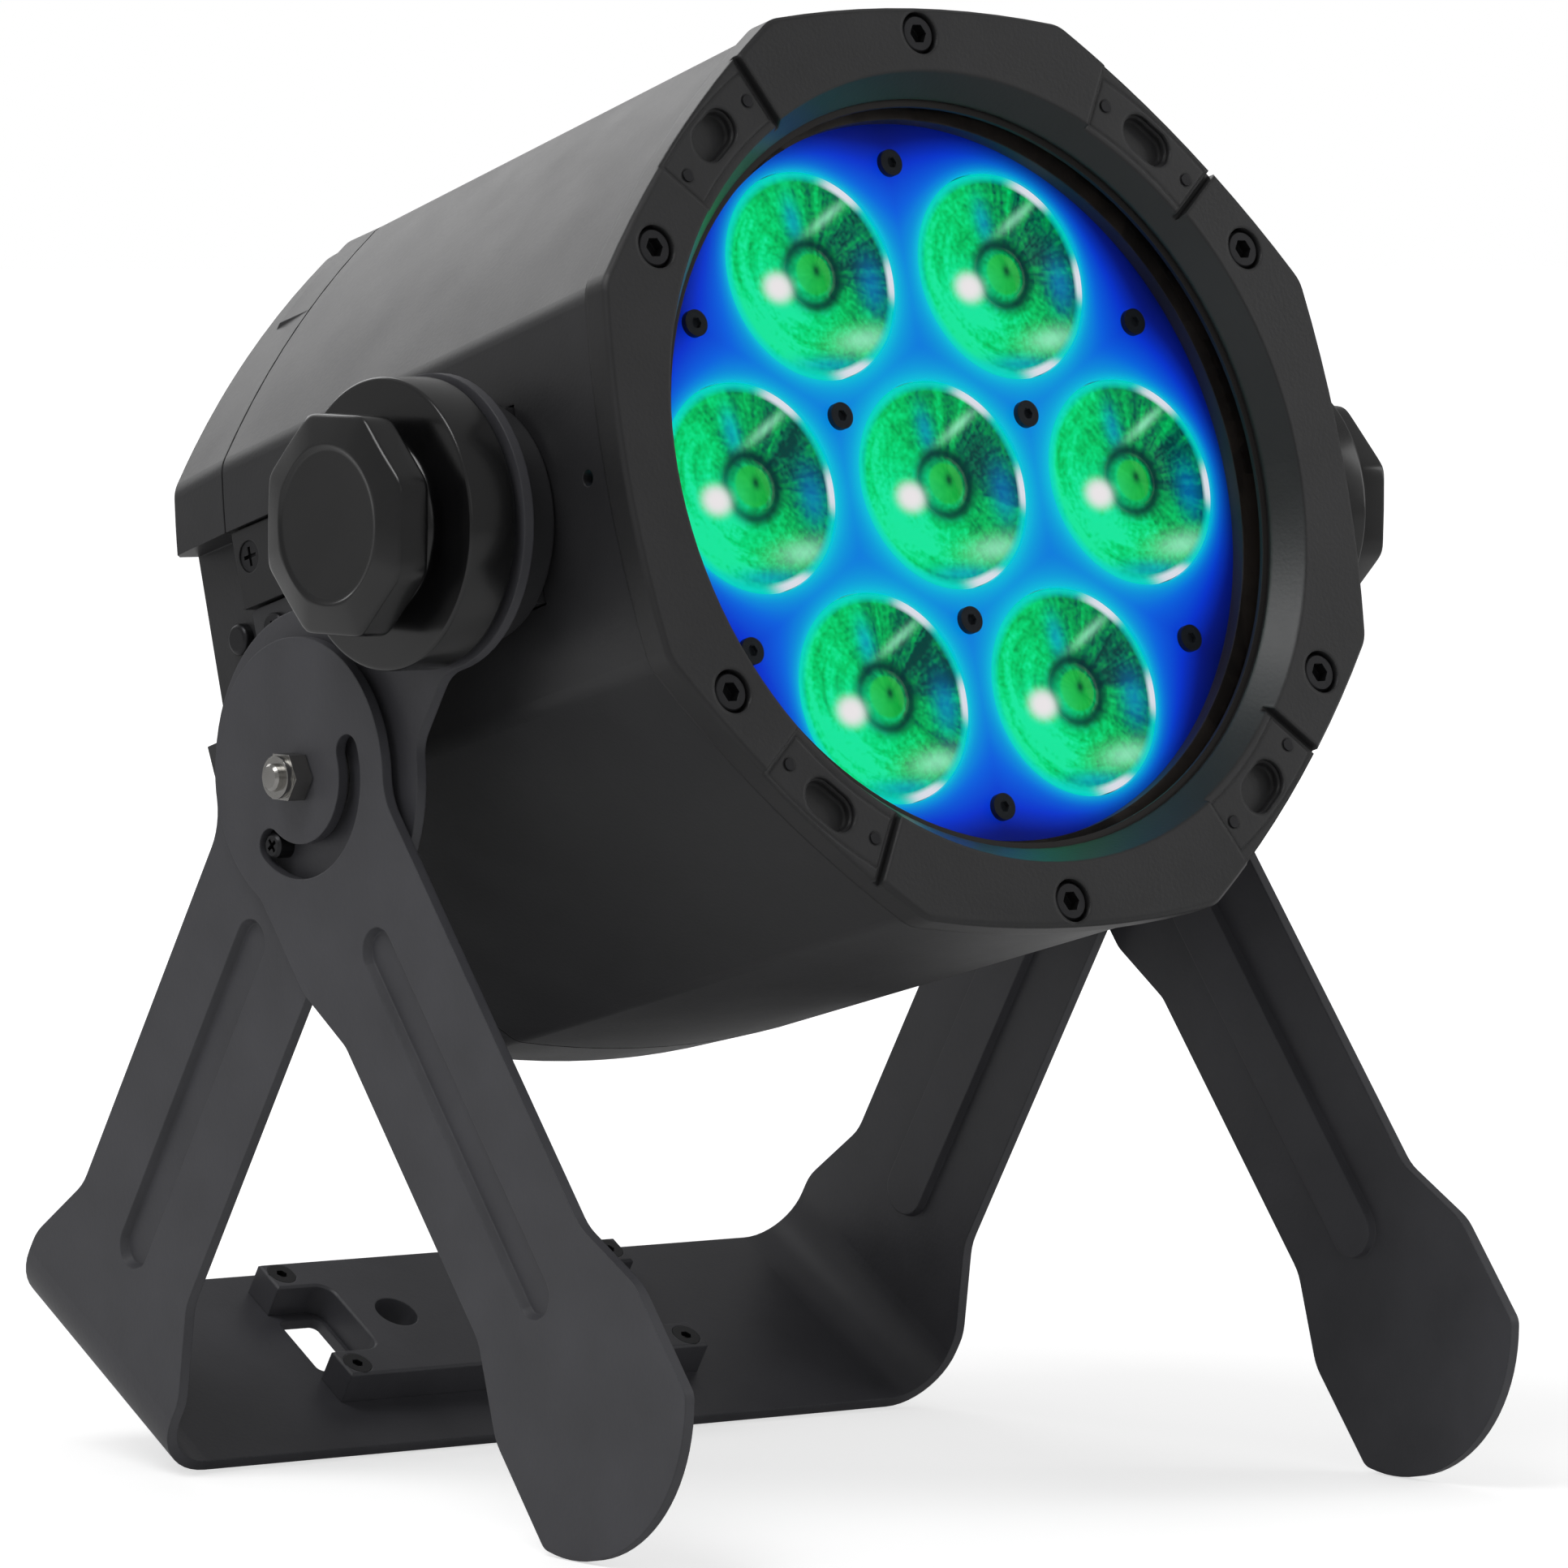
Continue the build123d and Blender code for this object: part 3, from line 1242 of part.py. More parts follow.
with BuildPart() as safety_eye:
    with BuildSketch(optic(cover_back, eye_at[0], eye_at[1])):
        RectangleRounded(eye_width + 16, eye_thick + 8, 3)
    extrude(amount=-2)
    with BuildSketch(Plane(origin=optic(cover_back - 2, eye_at[0], eye_at[1]).origin,
                           x_dir=(1, 0, 0), z_dir=HEAD.y_dir)):
        RectangleRounded(eye_width, 2 * eye_reach, 6)
        RectangleRounded(eye_width - 10, 2 * eye_reach - 10, 3, mode=Mode.SUBTRACT)
    extrude(amount=eye_thick / 2, both=True)
    with BuildSketch(optic(cover_back - 1, eye_at[0], eye_at[1])):
        Rectangle(eye_width + 4, 20)
    extrude(amount=40, mode=Mode.SUBTRACT)
    with BuildSketch(optic(cover_back, eye_at[0], eye_at[1])):
        RectangleRounded(eye_width + 16, eye_thick + 8, 3)
    extrude(amount=-2)
save(safety_eye, "safety_eye")

with BuildPart() as rear_feet:
    with BuildSketch(optic(cover_back)):
        with Locations((-foot_at[0], foot_at[1]), foot_at):
            Circle(foot_r)
    extrude(amount=block_back - cover_back)
    chamfer(rear_feet.faces().group_by(AHEAD)[0].edges(), 1.0)
save(rear_feet, "rear_feet")
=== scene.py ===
"""Studio scene of a seven-lens LED par can on a folding floor stand.

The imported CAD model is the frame. This script gives every node its finish, swaps the
moulded knobs and the lenses for finer surfaces, and sets up the camera, floor and lights.
"""
import json
import logging
import math
from dataclasses import dataclass
from enum import Enum
from typing import Dict, Iterable, List, Optional, Sequence, Tuple, Union

import bmesh
import bpy
import numpy as np
from mathutils import Matrix, Vector


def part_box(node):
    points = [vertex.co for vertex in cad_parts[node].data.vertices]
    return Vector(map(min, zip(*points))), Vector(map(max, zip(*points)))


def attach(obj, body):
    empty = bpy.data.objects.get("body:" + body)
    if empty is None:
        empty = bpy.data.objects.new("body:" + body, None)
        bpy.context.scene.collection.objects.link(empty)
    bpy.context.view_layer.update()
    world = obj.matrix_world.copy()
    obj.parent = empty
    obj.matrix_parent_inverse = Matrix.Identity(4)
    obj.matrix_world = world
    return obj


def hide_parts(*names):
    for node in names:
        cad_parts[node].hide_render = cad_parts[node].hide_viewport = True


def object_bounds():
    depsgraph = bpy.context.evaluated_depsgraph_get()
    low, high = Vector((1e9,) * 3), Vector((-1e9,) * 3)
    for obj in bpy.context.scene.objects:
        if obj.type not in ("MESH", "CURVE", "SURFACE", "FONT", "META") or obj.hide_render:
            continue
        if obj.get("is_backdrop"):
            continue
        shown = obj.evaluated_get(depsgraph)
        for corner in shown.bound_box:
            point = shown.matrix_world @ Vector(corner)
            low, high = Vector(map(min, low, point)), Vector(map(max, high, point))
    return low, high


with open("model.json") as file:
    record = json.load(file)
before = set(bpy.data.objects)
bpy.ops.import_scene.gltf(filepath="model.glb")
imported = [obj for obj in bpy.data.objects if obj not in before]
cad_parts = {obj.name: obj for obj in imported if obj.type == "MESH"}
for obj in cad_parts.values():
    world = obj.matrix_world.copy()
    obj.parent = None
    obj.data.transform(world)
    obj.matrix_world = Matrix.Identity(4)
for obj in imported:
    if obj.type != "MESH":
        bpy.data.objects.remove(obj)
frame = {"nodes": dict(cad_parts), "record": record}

LOG = logging.getLogger("par_can")
MM = 0.001
MERGE = 1e-6  # metres; points closer than this become one
REACH = 0.45  # largest share of a side that a rounded corner takes
WHITE = (1.0, 1.0, 1.0, 1.0)
Colour = Tuple[float, float, float]
Stops = Sequence[Tuple[float, Colour]]


def joint_place(name: str) -> Vector:
    """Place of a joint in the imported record.

    Args:
        name: Name of the joint.

    Returns:
        The place, in metres.
    """
    for joint in frame["record"]["behaviour"]["joints"]:
        if joint["name"] == name:
            return Vector(joint["pos_m"])
    raise KeyError(name)


def scaled(colour: Colour, factor: float, lift: float = 0.0) -> Colour:
    """Colour times a factor, with a lift added to each of its parts."""
    return tuple(factor * part + lift for part in colour)


# ------------------------------------------------------------------ shader maths
class Term:
    """A shader value that takes part in ordinary arithmetic.

    Each operator adds one Math node to the tree that the socket belongs to.
    """

    def __init__(self, graph: "Graph", socket: bpy.types.NodeSocket) -> None:
        """Wraps a socket.

        Args:
            graph: The node graph that the socket is in.
            socket: The output socket that carries the value.
        """
        self.graph = graph
        self.socket = socket

    def _math(self, operation: str, *others: "Operand") -> "Term":
        """One Math node with this value as its first input."""
        return self.graph.math(operation, self, *others)

    def __add__(self, other: "Operand") -> "Term":
        """Sum."""
        return self._math("ADD", other)

    __radd__ = __add__

    def __sub__(self, other: "Operand") -> "Term":
        """Difference."""
        return self._math("SUBTRACT", other)

    def __rsub__(self, other: "Operand") -> "Term":
        """Difference with this value taken away from a number."""
        return self.graph.math("SUBTRACT", other, self)

    def __mul__(self, other: "Operand") -> "Term":
        """Product."""
        return self._math("MULTIPLY", other)

    __rmul__ = __mul__

    def __truediv__(self, other: "Operand") -> "Term":
        """Quotient."""
        return self._math("DIVIDE", other)

    def __pow__(self, other: "Operand") -> "Term":
        """Power."""
        return self._math("POWER", other)

    def least(self, other: "Operand") -> "Term":
        """Smaller of two values."""
        return self._math("MINIMUM", other)

    def most(self, other: "Operand") -> "Term":
        """Larger of two values."""
        return self._math("MAXIMUM", other)

    def exp(self) -> "Term":
        """e to the power of this value."""
        return self._math("EXPONENT")

    def clamp(self) -> "Term":
        """This value kept between 0 and 1."""
        return self.most(0.0).least(1.0)

    def swing(self, amount: float) -> "Term":
        """Difference of this value from 0.5, times an amount."""
        return (self - 0.5) * amount


Operand = Union[Term, float, int]


class Graph:
    """The node tree of one material or world."""

    def __init__(self, owner: Union[bpy.types.Material, bpy.types.World]) -> None:
        """Empties the owner's node tree.

        Args:
            owner: The material or world whose tree is built.
        """
        owner.use_nodes = True
        self.tree = owner.node_tree
        self.tree.nodes.clear()

    def node(self, kind: str, settings: Optional[Dict[str, object]] = None,
             inputs: Optional[Dict[Union[str, int], object]] = None) -> bpy.types.Node:
        """Adds a node, sets its options, and then sets or links its sockets.

        Args:
            kind: The node's type name.
            settings: Options set before the sockets; "stops" fills a colour ramp.
            inputs: Socket name or number to a value, a Term or an output socket.

        Returns:
            The new node.
        """
        made = self.tree.nodes.new(kind)
        for key, value in (settings or {}).items():
            if key == "stops":
                ramp = made.color_ramp
                while len(ramp.elements) < len(value):
                    ramp.elements.new(1.0)
                for element, (place, colour) in zip(ramp.elements, value):
                    element.position = place
                    element.color = (*colour, 1.0)
            else:
                setattr(made, key, value)
        for key, value in (inputs or {}).items():
            socket = made.inputs[key]
            if isinstance(value, Term):
                self.tree.links.new(value.socket, socket)
            elif isinstance(value, bpy.types.NodeSocket):
                self.tree.links.new(value, socket)
            else:
                socket.default_value = value
        return made

    def math(self, operation: str, *values: Operand) -> Term:
        """One Math node as a Term."""
        made = self.node("ShaderNodeMath", {"operation": operation}, dict(enumerate(values)))
        return Term(self, made.outputs[0])

    def place(self) -> bpy.types.NodeSocket:
        """Object coordinates, which are the row frame in metres."""
        return self.node("ShaderNodeTexCoord").outputs["Object"]

    def noise(self, size: float, detail: float = 2.0,
              stretch: Tuple[float, float, float] = (1.0, 1.0, 1.0)) -> Term:
        """Noise with features of about a given size.

        Args:
            size: Size of the features in metres.
            detail: Octaves of finer noise.
            stretch: Factors on the three coordinates.

        Returns:
            The noise value, about 0.5 on average.
        """
        mapped = self.node("ShaderNodeMapping", None, {"Vector": self.place(), "Scale": stretch})
        made = self.node("ShaderNodeTexNoise", None,
                         {"Vector": mapped.outputs[0], "Scale": 1.0 / size, "Detail": detail})
        return Term(self, made.outputs["Fac"])

    def distance(self, where: bpy.types.NodeSocket, centre: Sequence[float]) -> Term:
        """Distance from a fixed place.

        Args:
            where: Coordinates, in metres.
            centre: The fixed place, in metres.

        Returns:
            The distance in metres.
        """
        made = self.node("ShaderNodeVectorMath", {"operation": "DISTANCE"}, {0: where, 1: tuple(centre)})
        return Term(self, made.outputs["Value"])

    def ramp(self, value: Term, stops: Stops) -> bpy.types.NodeSocket:
        """Colour ramp.

        Args:
            value: Place on the ramp, 0 to 1.
            stops: Places and colours in rising order.

        Returns:
            The colour's socket.
        """
        made = self.node("ShaderNodeValToRGB", {"stops": stops}, {0: value})
        return made.outputs["Color"]

    def mix(self, factor: Operand, first: object, second: object) -> bpy.types.NodeSocket:
        """Mix of two colours.

        Args:
            factor: Share of the second colour.
            first: Colour or colour socket.
            second: Colour or colour socket.

        Returns:
            The mixed colour's socket.
        """
        def full(value: object) -> object:
            """A plain colour gets its alpha."""
            return (*value, 1.0) if isinstance(value, tuple) else value
        inputs = {0: factor, 6: full(first), 7: full(second)}
        return self.node("ShaderNodeMix", {"data_type": "RGBA"}, inputs).outputs[2]

    def bump(self, height: Term, relief: float, edge: float = 0.0) -> bpy.types.NodeSocket:
        """Bumped normal, with the edges softened first where an edge radius is given.

        Args:
            height: Height of the surface, 0 to 1.
            relief: Height in metres that a value of 1 stands for.
            edge: Radius of the eased edges in metres.

        Returns:
            The normal's socket.
        """
        inputs: Dict[Union[str, int], object] = {"Height": height, "Strength": 1.0, "Distance": relief}
        if edge > 0.0:
            soft = self.node("ShaderNodeBevel", {"samples": 4}, {"Radius": edge})
            inputs["Normal"] = soft.outputs[0]
        return self.node("ShaderNodeBump", None, inputs).outputs[0]

    def surface(self, **inputs: object) -> bpy.types.Node:
        """Principled shader joined to the material output.

        Args:
            inputs: Socket names with underscores for spaces.

        Returns:
            The shader node.
        """
        named = {key.replace("_", " "): value for key, value in inputs.items()}
        shader = self.node("ShaderNodeBsdfPrincipled", None, named)
        self.node("ShaderNodeOutputMaterial", None, {"Surface": shader.outputs[0]})
        return shader


# ------------------------------------------------------------------ finishes
@dataclass(frozen=True)
class Surface:
    """Base of the finishes: a name and the shader nodes that the finish adds."""

    name: str

    def shade(self, graph: Graph) -> None:
        """Adds the finish's nodes.

        Args:
            graph: Graph of the new material.
        """
        raise NotImplementedError(self.name)

    def build(self) -> bpy.types.Material:
        """Makes the finish.

        Returns:
            The new material.
        """
        material = bpy.data.materials.new(self.name)
        self.shade(Graph(material))
        return material


@dataclass(frozen=True)
class PowderCoat(Surface):
    """Satin powder coat: fine orange peel and a faint mottle.

    Grain, relief, edge radius and mottle are in metres; pale and dark are factors on the colour.
    """

    colour: Colour = (0.030, 0.030, 0.032)
    roughness: float = 0.42
    grain: float = 0.0009
    relief: float = 0.00003
    edge: float = 0.0005
    mottle: float = 0.018
    contrast: float = 1.6
    pale: float = 1.25
    dark: float = 0.85
    rough_mottle: float = 0.10
    rough_peel: float = 0.06

    def shade(self, graph: Graph) -> None:
        """Adds the coat; the mottle moves its colour, and mottle and peel its roughness.

        Args:
            graph: Graph of the new material.
        """
        mottle = graph.noise(self.mottle, detail=4.0)
        peel = graph.noise(self.grain, detail=3.0)
        dark, pale = scaled(self.colour, self.dark), scaled(self.colour, self.pale)
        graph.surface(
            Base_Color=graph.mix(mottle.swing(self.contrast) + 0.5, dark, pale),
            Roughness=self.roughness + mottle.swing(self.rough_mottle) + peel.swing(self.rough_peel),
            Specular_IOR_Level=0.5,
            Normal=graph.bump(peel, self.relief, self.edge),
        )


@dataclass(frozen=True)
class PlatedSteel(Surface):
    """Plated or blackened metal with fine turning marks, sizes in metres."""

    colour: Colour = (0.60, 0.60, 0.61)
    roughness: float = 0.28
    metallic: float = 1.0
    edge: float = 0.0002
    marks: float = 0.0005
    stretch: Tuple[float, float, float] = (1.0, 4.0, 4.0)
    relief: float = 0.00001
    smear: float = 0.004
    dull: float = 0.72
    rough_marks: float = 0.16
    rough_smear: float = 0.08

    def shade(self, graph: Graph) -> None:
        """Adds the metal; the smear moves its colour, and marks and smear its roughness.

        Args:
            graph: Graph of the new material.
        """
        marks = graph.noise(self.marks, detail=2.0, stretch=self.stretch)
        smear = graph.noise(self.smear, detail=3.0)
        graph.surface(
            Base_Color=graph.mix(smear, scaled(self.colour, self.dull), self.colour),
            Metallic=self.metallic,
            Roughness=self.roughness + marks.swing(self.rough_marks) + smear.swing(self.rough_smear),
            Normal=graph.bump(marks, self.relief, self.edge),
        )


@dataclass(frozen=True)
class Moulded(Surface):
    """Moulded plastic or rubber with a fine texture, sizes in metres."""

    colour: Colour = (0.012, 0.012, 0.013)
    roughness: float = 0.32
    grain: float = 0.0006
    relief: float = 0.00001
    coat: float = 0.0
    coat_roughness: float = 0.15
    edge: float = 0.0003
    cloud: float = 0.012
    pale: float = 1.3
    lift: float = 0.002
    rough_cloud: float = 0.10

    def shade(self, graph: Graph) -> None:
        """Adds the plastic; the cloud moves its colour and roughness.

        Args:
            graph: Graph of the new material.
        """
        grain = graph.noise(self.grain, detail=2.0)
        cloud = graph.noise(self.cloud, detail=3.0)
        graph.surface(
            Base_Color=graph.mix(cloud, self.colour, scaled(self.colour, self.pale, self.lift)),
            Roughness=self.roughness + cloud.swing(self.rough_cloud),
            Coat_Weight=self.coat,
            Coat_Roughness=self.coat_roughness,
            Normal=graph.bump(grain, self.relief, self.edge),
        )


@dataclass(frozen=True)
class ClearPane(Surface):
    """Clear pane that shows little but its reflections; cover is how much it hides."""

    colour: Colour = (0.004, 0.006, 0.008)
    cover: float = 0.10
    roughness: float = 0.03
    haze: float = 0.02
    rough_haze: float = 0.03
    cover_haze: float = 0.02

    def shade(self, graph: Graph) -> None:
        """Adds the pane; a faint haze moves its roughness and cover.

        Args:
            graph: Graph of the new material.
        """
        haze = graph.noise(self.haze, detail=3.0)
        graph.surface(
            Base_Color=(*self.colour, 1.0),
            Roughness=self.roughness + haze.swing(self.rough_haze),
            Alpha=self.cover + haze.swing(self.cover_haze),
            Specular_IOR_Level=0.35,
        )


@dataclass(frozen=True)
class CircuitBoard(Surface):
    """Solder mask with faint copper runs under it."""

    mask: Colour = (0.01, 0.08, 0.03)
    trace: Colour = (0.03, 0.16, 0.06)
    roughness: float = 0.38
    cells: float = 110.0
    line: float = 0.03
    relief: float = 0.00003

    def shade(self, graph: Graph) -> None:
        """Adds the board; the runs are the joints of a brick pattern.

        Args:
            graph: Graph of the new material.
        """
        bricks = graph.node("ShaderNodeTexBrick", {"offset": 0.37, "squash": 1.4}, {
            "Vector": graph.place(), "Scale": self.cells, "Mortar Size": self.line})
        runs = Term(graph, bricks.outputs["Fac"])
        graph.surface(
            Base_Color=graph.mix(runs, self.mask, self.trace),
            Roughness=self.roughness - runs * 0.08,
            Normal=graph.bump(runs, self.relief),
        )


@dataclass(frozen=True)
class LitPlate(Surface):
    """Lens plate in the glow of its lenses.

    The glow is (near * exp(-past / glow_fade) + wide * (1 - out^3) + cloud) * (1.1 - 0.85 * out^7),
    where past is the distance beyond the nearest lens rim and out is the distance from the
    plate's middle over the plate's radius.
    """

    centres: Tuple[Tuple[float, float, float], ...]
    lens_r: float
    plate_r: float
    rim_fade: float = 0.0014
    rim_share: float = 0.75
    rim_colour: Colour = (0.0, 0.75, 0.80)
    glow_fade: float = 0.011
    near: float = 0.55
    wide: float = 0.42
    cloud: float = 0.03
    stops: Stops = (
        (0.0, (0.0, 0.0008, 0.020)), (0.14, (0.0, 0.006, 0.20)), (0.30, (0.0, 0.035, 0.72)),
        (0.55, (0.0, 0.13, 0.88)), (0.78, (0.0, 0.27, 0.86)), (1.0, (0.0, 0.44, 0.86)))

    def shade(self, graph: Graph) -> None:
        """Adds the plate: the glow as a colour ramp with a bright line round each lens.

        Args:
            graph: Graph of the new material.
        """
        where = graph.place()
        reach = graph.distance(where, self.centres[0])
        outward = reach / self.plate_r
        for centre in self.centres[1:]:
            reach = reach.least(graph.distance(where, centre))
        past = (reach - self.lens_r).most(0.0)
        cloud = graph.noise(self.cloud, detail=2.0)
        rim = (past / -self.rim_fade).exp()
        near = (past / -self.glow_fade).exp() * self.near
        wide = (1.0 - outward ** 3.0).most(0.0) * self.wide
        shadow = (1.1 - (outward ** 7.0) * 0.85).most(0.0)
        glow = (near + wide + cloud.swing(0.12)) * shadow
        body = graph.ramp(glow.clamp(), self.stops)
        graph.surface(
            Base_Color=(0.0, 0.004, 0.03, 1.0),
            Roughness=0.5 + cloud.swing(0.1),
            Emission_Color=graph.mix(rim * self.rim_share, body, self.rim_colour),
            Emission_Strength=1.0,
            Specular_IOR_Level=0.1,
        )


@dataclass(frozen=True)
class Patch:
    """Soft patch on a lens.

    Places and half sizes are in lens radii and the lean is in radians. The power sharpens the
    patch's edge, and the weight is its value in the middle.
    """

    x: float
    y: float
    wide: float
    high: float
    power: float = 1.0
    lean: float = 0.0
    weight: float = 1.0

    def value(self, across: Term, up: Term) -> Term:
        """The patch's value at a place on the lens.

        It is weight * exp(-((a / wide)^2 + (b / high)^2)^power), where (a, b) is the place from the
        patch's middle, turned by the lean.

        Args:
            across: Place across the lens.
            up: Place up the lens.

        Returns:
            The value.
        """
        cosine, sine = math.cos(self.lean), math.sin(self.lean)
        right, above = across - self.x, up - self.y
        along = (right * cosine + above * sine) / self.wide
        aside = (above * cosine - right * sine) / self.high
        return ((along * along + aside * aside) ** self.power * -1.0).exp() * self.weight


@dataclass(frozen=True)
class LitLens(Surface):
    """Lit lens: green cone, cyan rim, white emitter image, a dark ring round the middle and painted white
    highlights fixed on the rim.

    It reads the attribute "spot": the place across and up the lens in lens radii, and a value
    that makes the streaks of each lens differ. All radii here are in lens radii.
    """

    grit: float = 0.0011
    arc_scale: Tuple[float, float, float] = (9.0, 0.9, 0.4)
    ray_scale: Tuple[float, float, float] = (0.8, 5.5, 0.3)
    body_stops: Stops = (
        (0.0, (0.0, 0.055, 0.045)), (0.18, (0.0, 0.16, 0.080)), (0.36, (0.0, 0.34, 0.085)),
        (0.58, (0.0, 0.60, 0.13)), (0.8, (0.0, 0.84, 0.24)), (1.0, (0.01, 0.95, 0.40)))
    shades: Tuple[Patch, ...] = (
        Patch(-0.35, -0.45, 0.5, 0.35, weight=0.22), Patch(0.48, 0.28, 0.34, 0.30, weight=-0.32))
    blues: Tuple[Patch, ...] = (
        Patch(0.72, -0.10, 0.16, 0.26, weight=0.7), Patch(0.05, -0.86, 0.42, 0.09, weight=0.7),
        Patch(-0.12, 0.52, 0.10, 0.22, weight=0.7))
    blue_colour: Colour = (0.0, 0.26, 0.80)
    wedges: Tuple[Patch, ...] = (
        Patch(0.30, 0.56, 0.30, 0.045, lean=0.54), Patch(0.51, -0.62, 0.32, 0.11, lean=0.12, weight=1.1))
    wedge_colour: Colour = (0.35, 0.98, 0.62)
    ring_r: float = 0.30
    ring_width: float = 0.075
    ring_colour: Colour = (0.0, 0.022, 0.030)
    pip_r: float = 0.215
    pip_stops: Stops = ((0.0, (0.0, 0.12, 0.03)), (0.5, (0.0, 0.42, 0.04)), (1.0, (0.04, 0.72, 0.10)))
    dot: Patch = Patch(0.03, 0.03, 0.045, 0.06)
    dot_colour: Colour = (0.0, 0.07, 0.02)
    rim_r: float = 0.90
    rim_colour: Colour = (0.0, 0.78, 0.72)
    # Painted highlights: white glints on the rim, drawn as emission at fixed places on the lens.
    glints: Tuple[Patch, ...] = (
        Patch(0.55, 0.80, 0.26, 0.17, 2.0), Patch(1.0, -0.05, 0.14, 0.20, 2.0),
        Patch(0.38, -0.93, 0.28, 0.12, 2.0))
    glint_colour: Colour = (0.86, 0.88, 0.97)
    halo: Patch = Patch(-0.43, -0.12, 0.27, 0.23, weight=0.5)
    halo_colour: Colour = (0.01, 0.98, 0.48)
    emitter: Patch = Patch(-0.43, -0.12, 0.165, 0.140, 2.0)
    emitter_colour: Colour = (1.0, 0.95, 0.97)

    @staticmethod
    def streaks(graph: Graph, *places: Term) -> Term:
        """Noise drawn out along the coordinates that change slowly.

        Args:
            graph: The material's graph.
            places: Three coordinates.

        Returns:
            The noise value.
        """
        where = graph.node("ShaderNodeCombineXYZ", None, dict(enumerate(places)))
        made = graph.node("ShaderNodeTexNoise", None, {
            "Vector": where.outputs[0], "Scale": 1.0, "Detail": 5.0, "Roughness": 0.6})
        return Term(graph, made.outputs["Fac"])

    @staticmethod
    def total(patches: Sequence[Patch], across: Term, up: Term) -> Term:
        """Sum of the values of several patches.

        Args:
            patches: The patches.
            across: Place across the lens.
            up: Place up the lens.

        Returns:
            The sum.
        """
        values = [patch.value(across, up) for patch in patches]
        return sum(values[1:], values[0])

    def streaked(self, graph: Graph, across: Term, up: Term, turn: Term) -> Term:
        """Arcs round the middle on one side of the lens and rays out of it on the other.

        Each scale holds the noise's scale along the radius, its scale round the lens, and the
        share of the turn that shifts it.

        Args:
            graph: The material's graph.
            across: Place across the lens.
            up: Place up the lens.
            turn: Value that differs between the lenses.

        Returns:
            The streaks, about 0.5 on average.
        """
        radius = (across * across + up * up) ** 0.5
        even = radius.most(0.02)
        cosine, sine = across / even, up / even
        out, about, shift = self.arc_scale
        arcs = self.streaks(graph, radius * out + turn * shift, cosine * about, sine * about)
        out, about, shift = self.ray_scale
        rays = self.streaks(graph, cosine * about, sine * about, radius * out + turn * shift)
        sort = (0.5 + across * 0.7 + up * 0.45).clamp()
        return arcs * (1.0 - sort) + rays * sort

    def cone(self, graph: Graph, across: Term, up: Term, streaks: Term, grit: Term) -> bpy.types.NodeSocket:
        """Colour of the cone: green, with blue patches and pale wedges.

        Args:
            graph: The material's graph.
            across: Place across the lens.
            up: Place up the lens.
            streaks: The streaks.
            grit: Fine noise.

        Returns:
            The colour's socket.
        """
        side = (0.52 - across * 0.50 - up * 0.14).clamp()
        shades = self.total(self.shades, across, up)
        tone = (side * 0.66 + streaks.swing(1.5) + grit.swing(0.8) + 0.22 + shades).clamp()
        body = graph.ramp(tone, self.body_stops)
        blue = self.total(self.blues, across, up).clamp() * (0.5 + streaks * 0.5)
        body = graph.mix(blue, body, self.blue_colour)
        wedge = (self.total(self.wedges, across, up) * (0.35 + streaks)).clamp() * 0.85
        return graph.mix(wedge, body, self.wedge_colour)

    def shade(self, graph: Graph) -> None:
        """Adds the lens: the cone, then from the middle outwards what lies over it.

        Args:
            graph: Graph of the new material.
        """
        spot = graph.node("ShaderNodeAttribute", {"attribute_name": "spot"}).outputs["Vector"]
        parts = graph.node("ShaderNodeSeparateXYZ", None, {0: spot})
        across, up, turn = (Term(graph, parts.outputs[i]) for i in range(3))
        radius = (across * across + up * up) ** 0.5
        streaks = self.streaked(graph, across, up, turn)
        grit = graph.noise(self.grit, detail=3.0)
        body = self.cone(graph, across, up, streaks, grit)
        ring = (radius - self.ring_r) / self.ring_width
        body = graph.mix((ring * ring * -1.0).exp() * 0.92, body, self.ring_colour)
        pip = ((self.pip_r - radius) * 30.0).clamp() * 0.95
        inner = graph.ramp((0.35 + streaks * 0.6 - across * 0.8).clamp(), self.pip_stops)
        body = graph.mix(pip, body, inner)
        body = graph.mix(self.dot.value(across, up), body, self.dot_colour)
        past = radius - self.rim_r
        body = graph.mix((past * 14.0).clamp() * 0.85, body, self.rim_colour)
        # Painted highlights: white glints mixed into the emission beyond the rim radius.
        glint = (past * 22.0).clamp() * self.total(self.glints, across, up)
        body = graph.mix(glint.clamp(), body, self.glint_colour)
        body = graph.mix(self.halo.value(across, up).clamp(), body, self.halo_colour)
        body = graph.mix(self.emitter.value(across, up), body, self.emitter_colour)
        graph.surface(
            Base_Color=(0.0, 0.010, 0.006, 1.0),
            Roughness=0.14 + grit.swing(0.08),
            Emission_Color=body,
            Emission_Strength=1.0,
            Specular_IOR_Level=0.12,
        )


@dataclass(frozen=True)
class DarkScreen(Surface):
    """Dark display window with a faint cloud in it."""

    dark: Colour = (0.004, 0.006, 0.01)
    pale: Colour = (0.010, 0.014, 0.022)
    cloud: float = 0.006
    roughness: float = 0.08

    def shade(self, graph: Graph) -> None:
        """Adds the window; the cloud moves its colour and roughness.

        Args:
            graph: Graph of the new material.
        """
        cloud = graph.noise(self.cloud, detail=2.0)
        graph.surface(
            Base_Color=graph.mix(cloud, self.dark, self.pale),
            Roughness=self.roughness + cloud * 0.06,
            Coat_Weight=0.6,
            Coat_Roughness=0.05,
        )


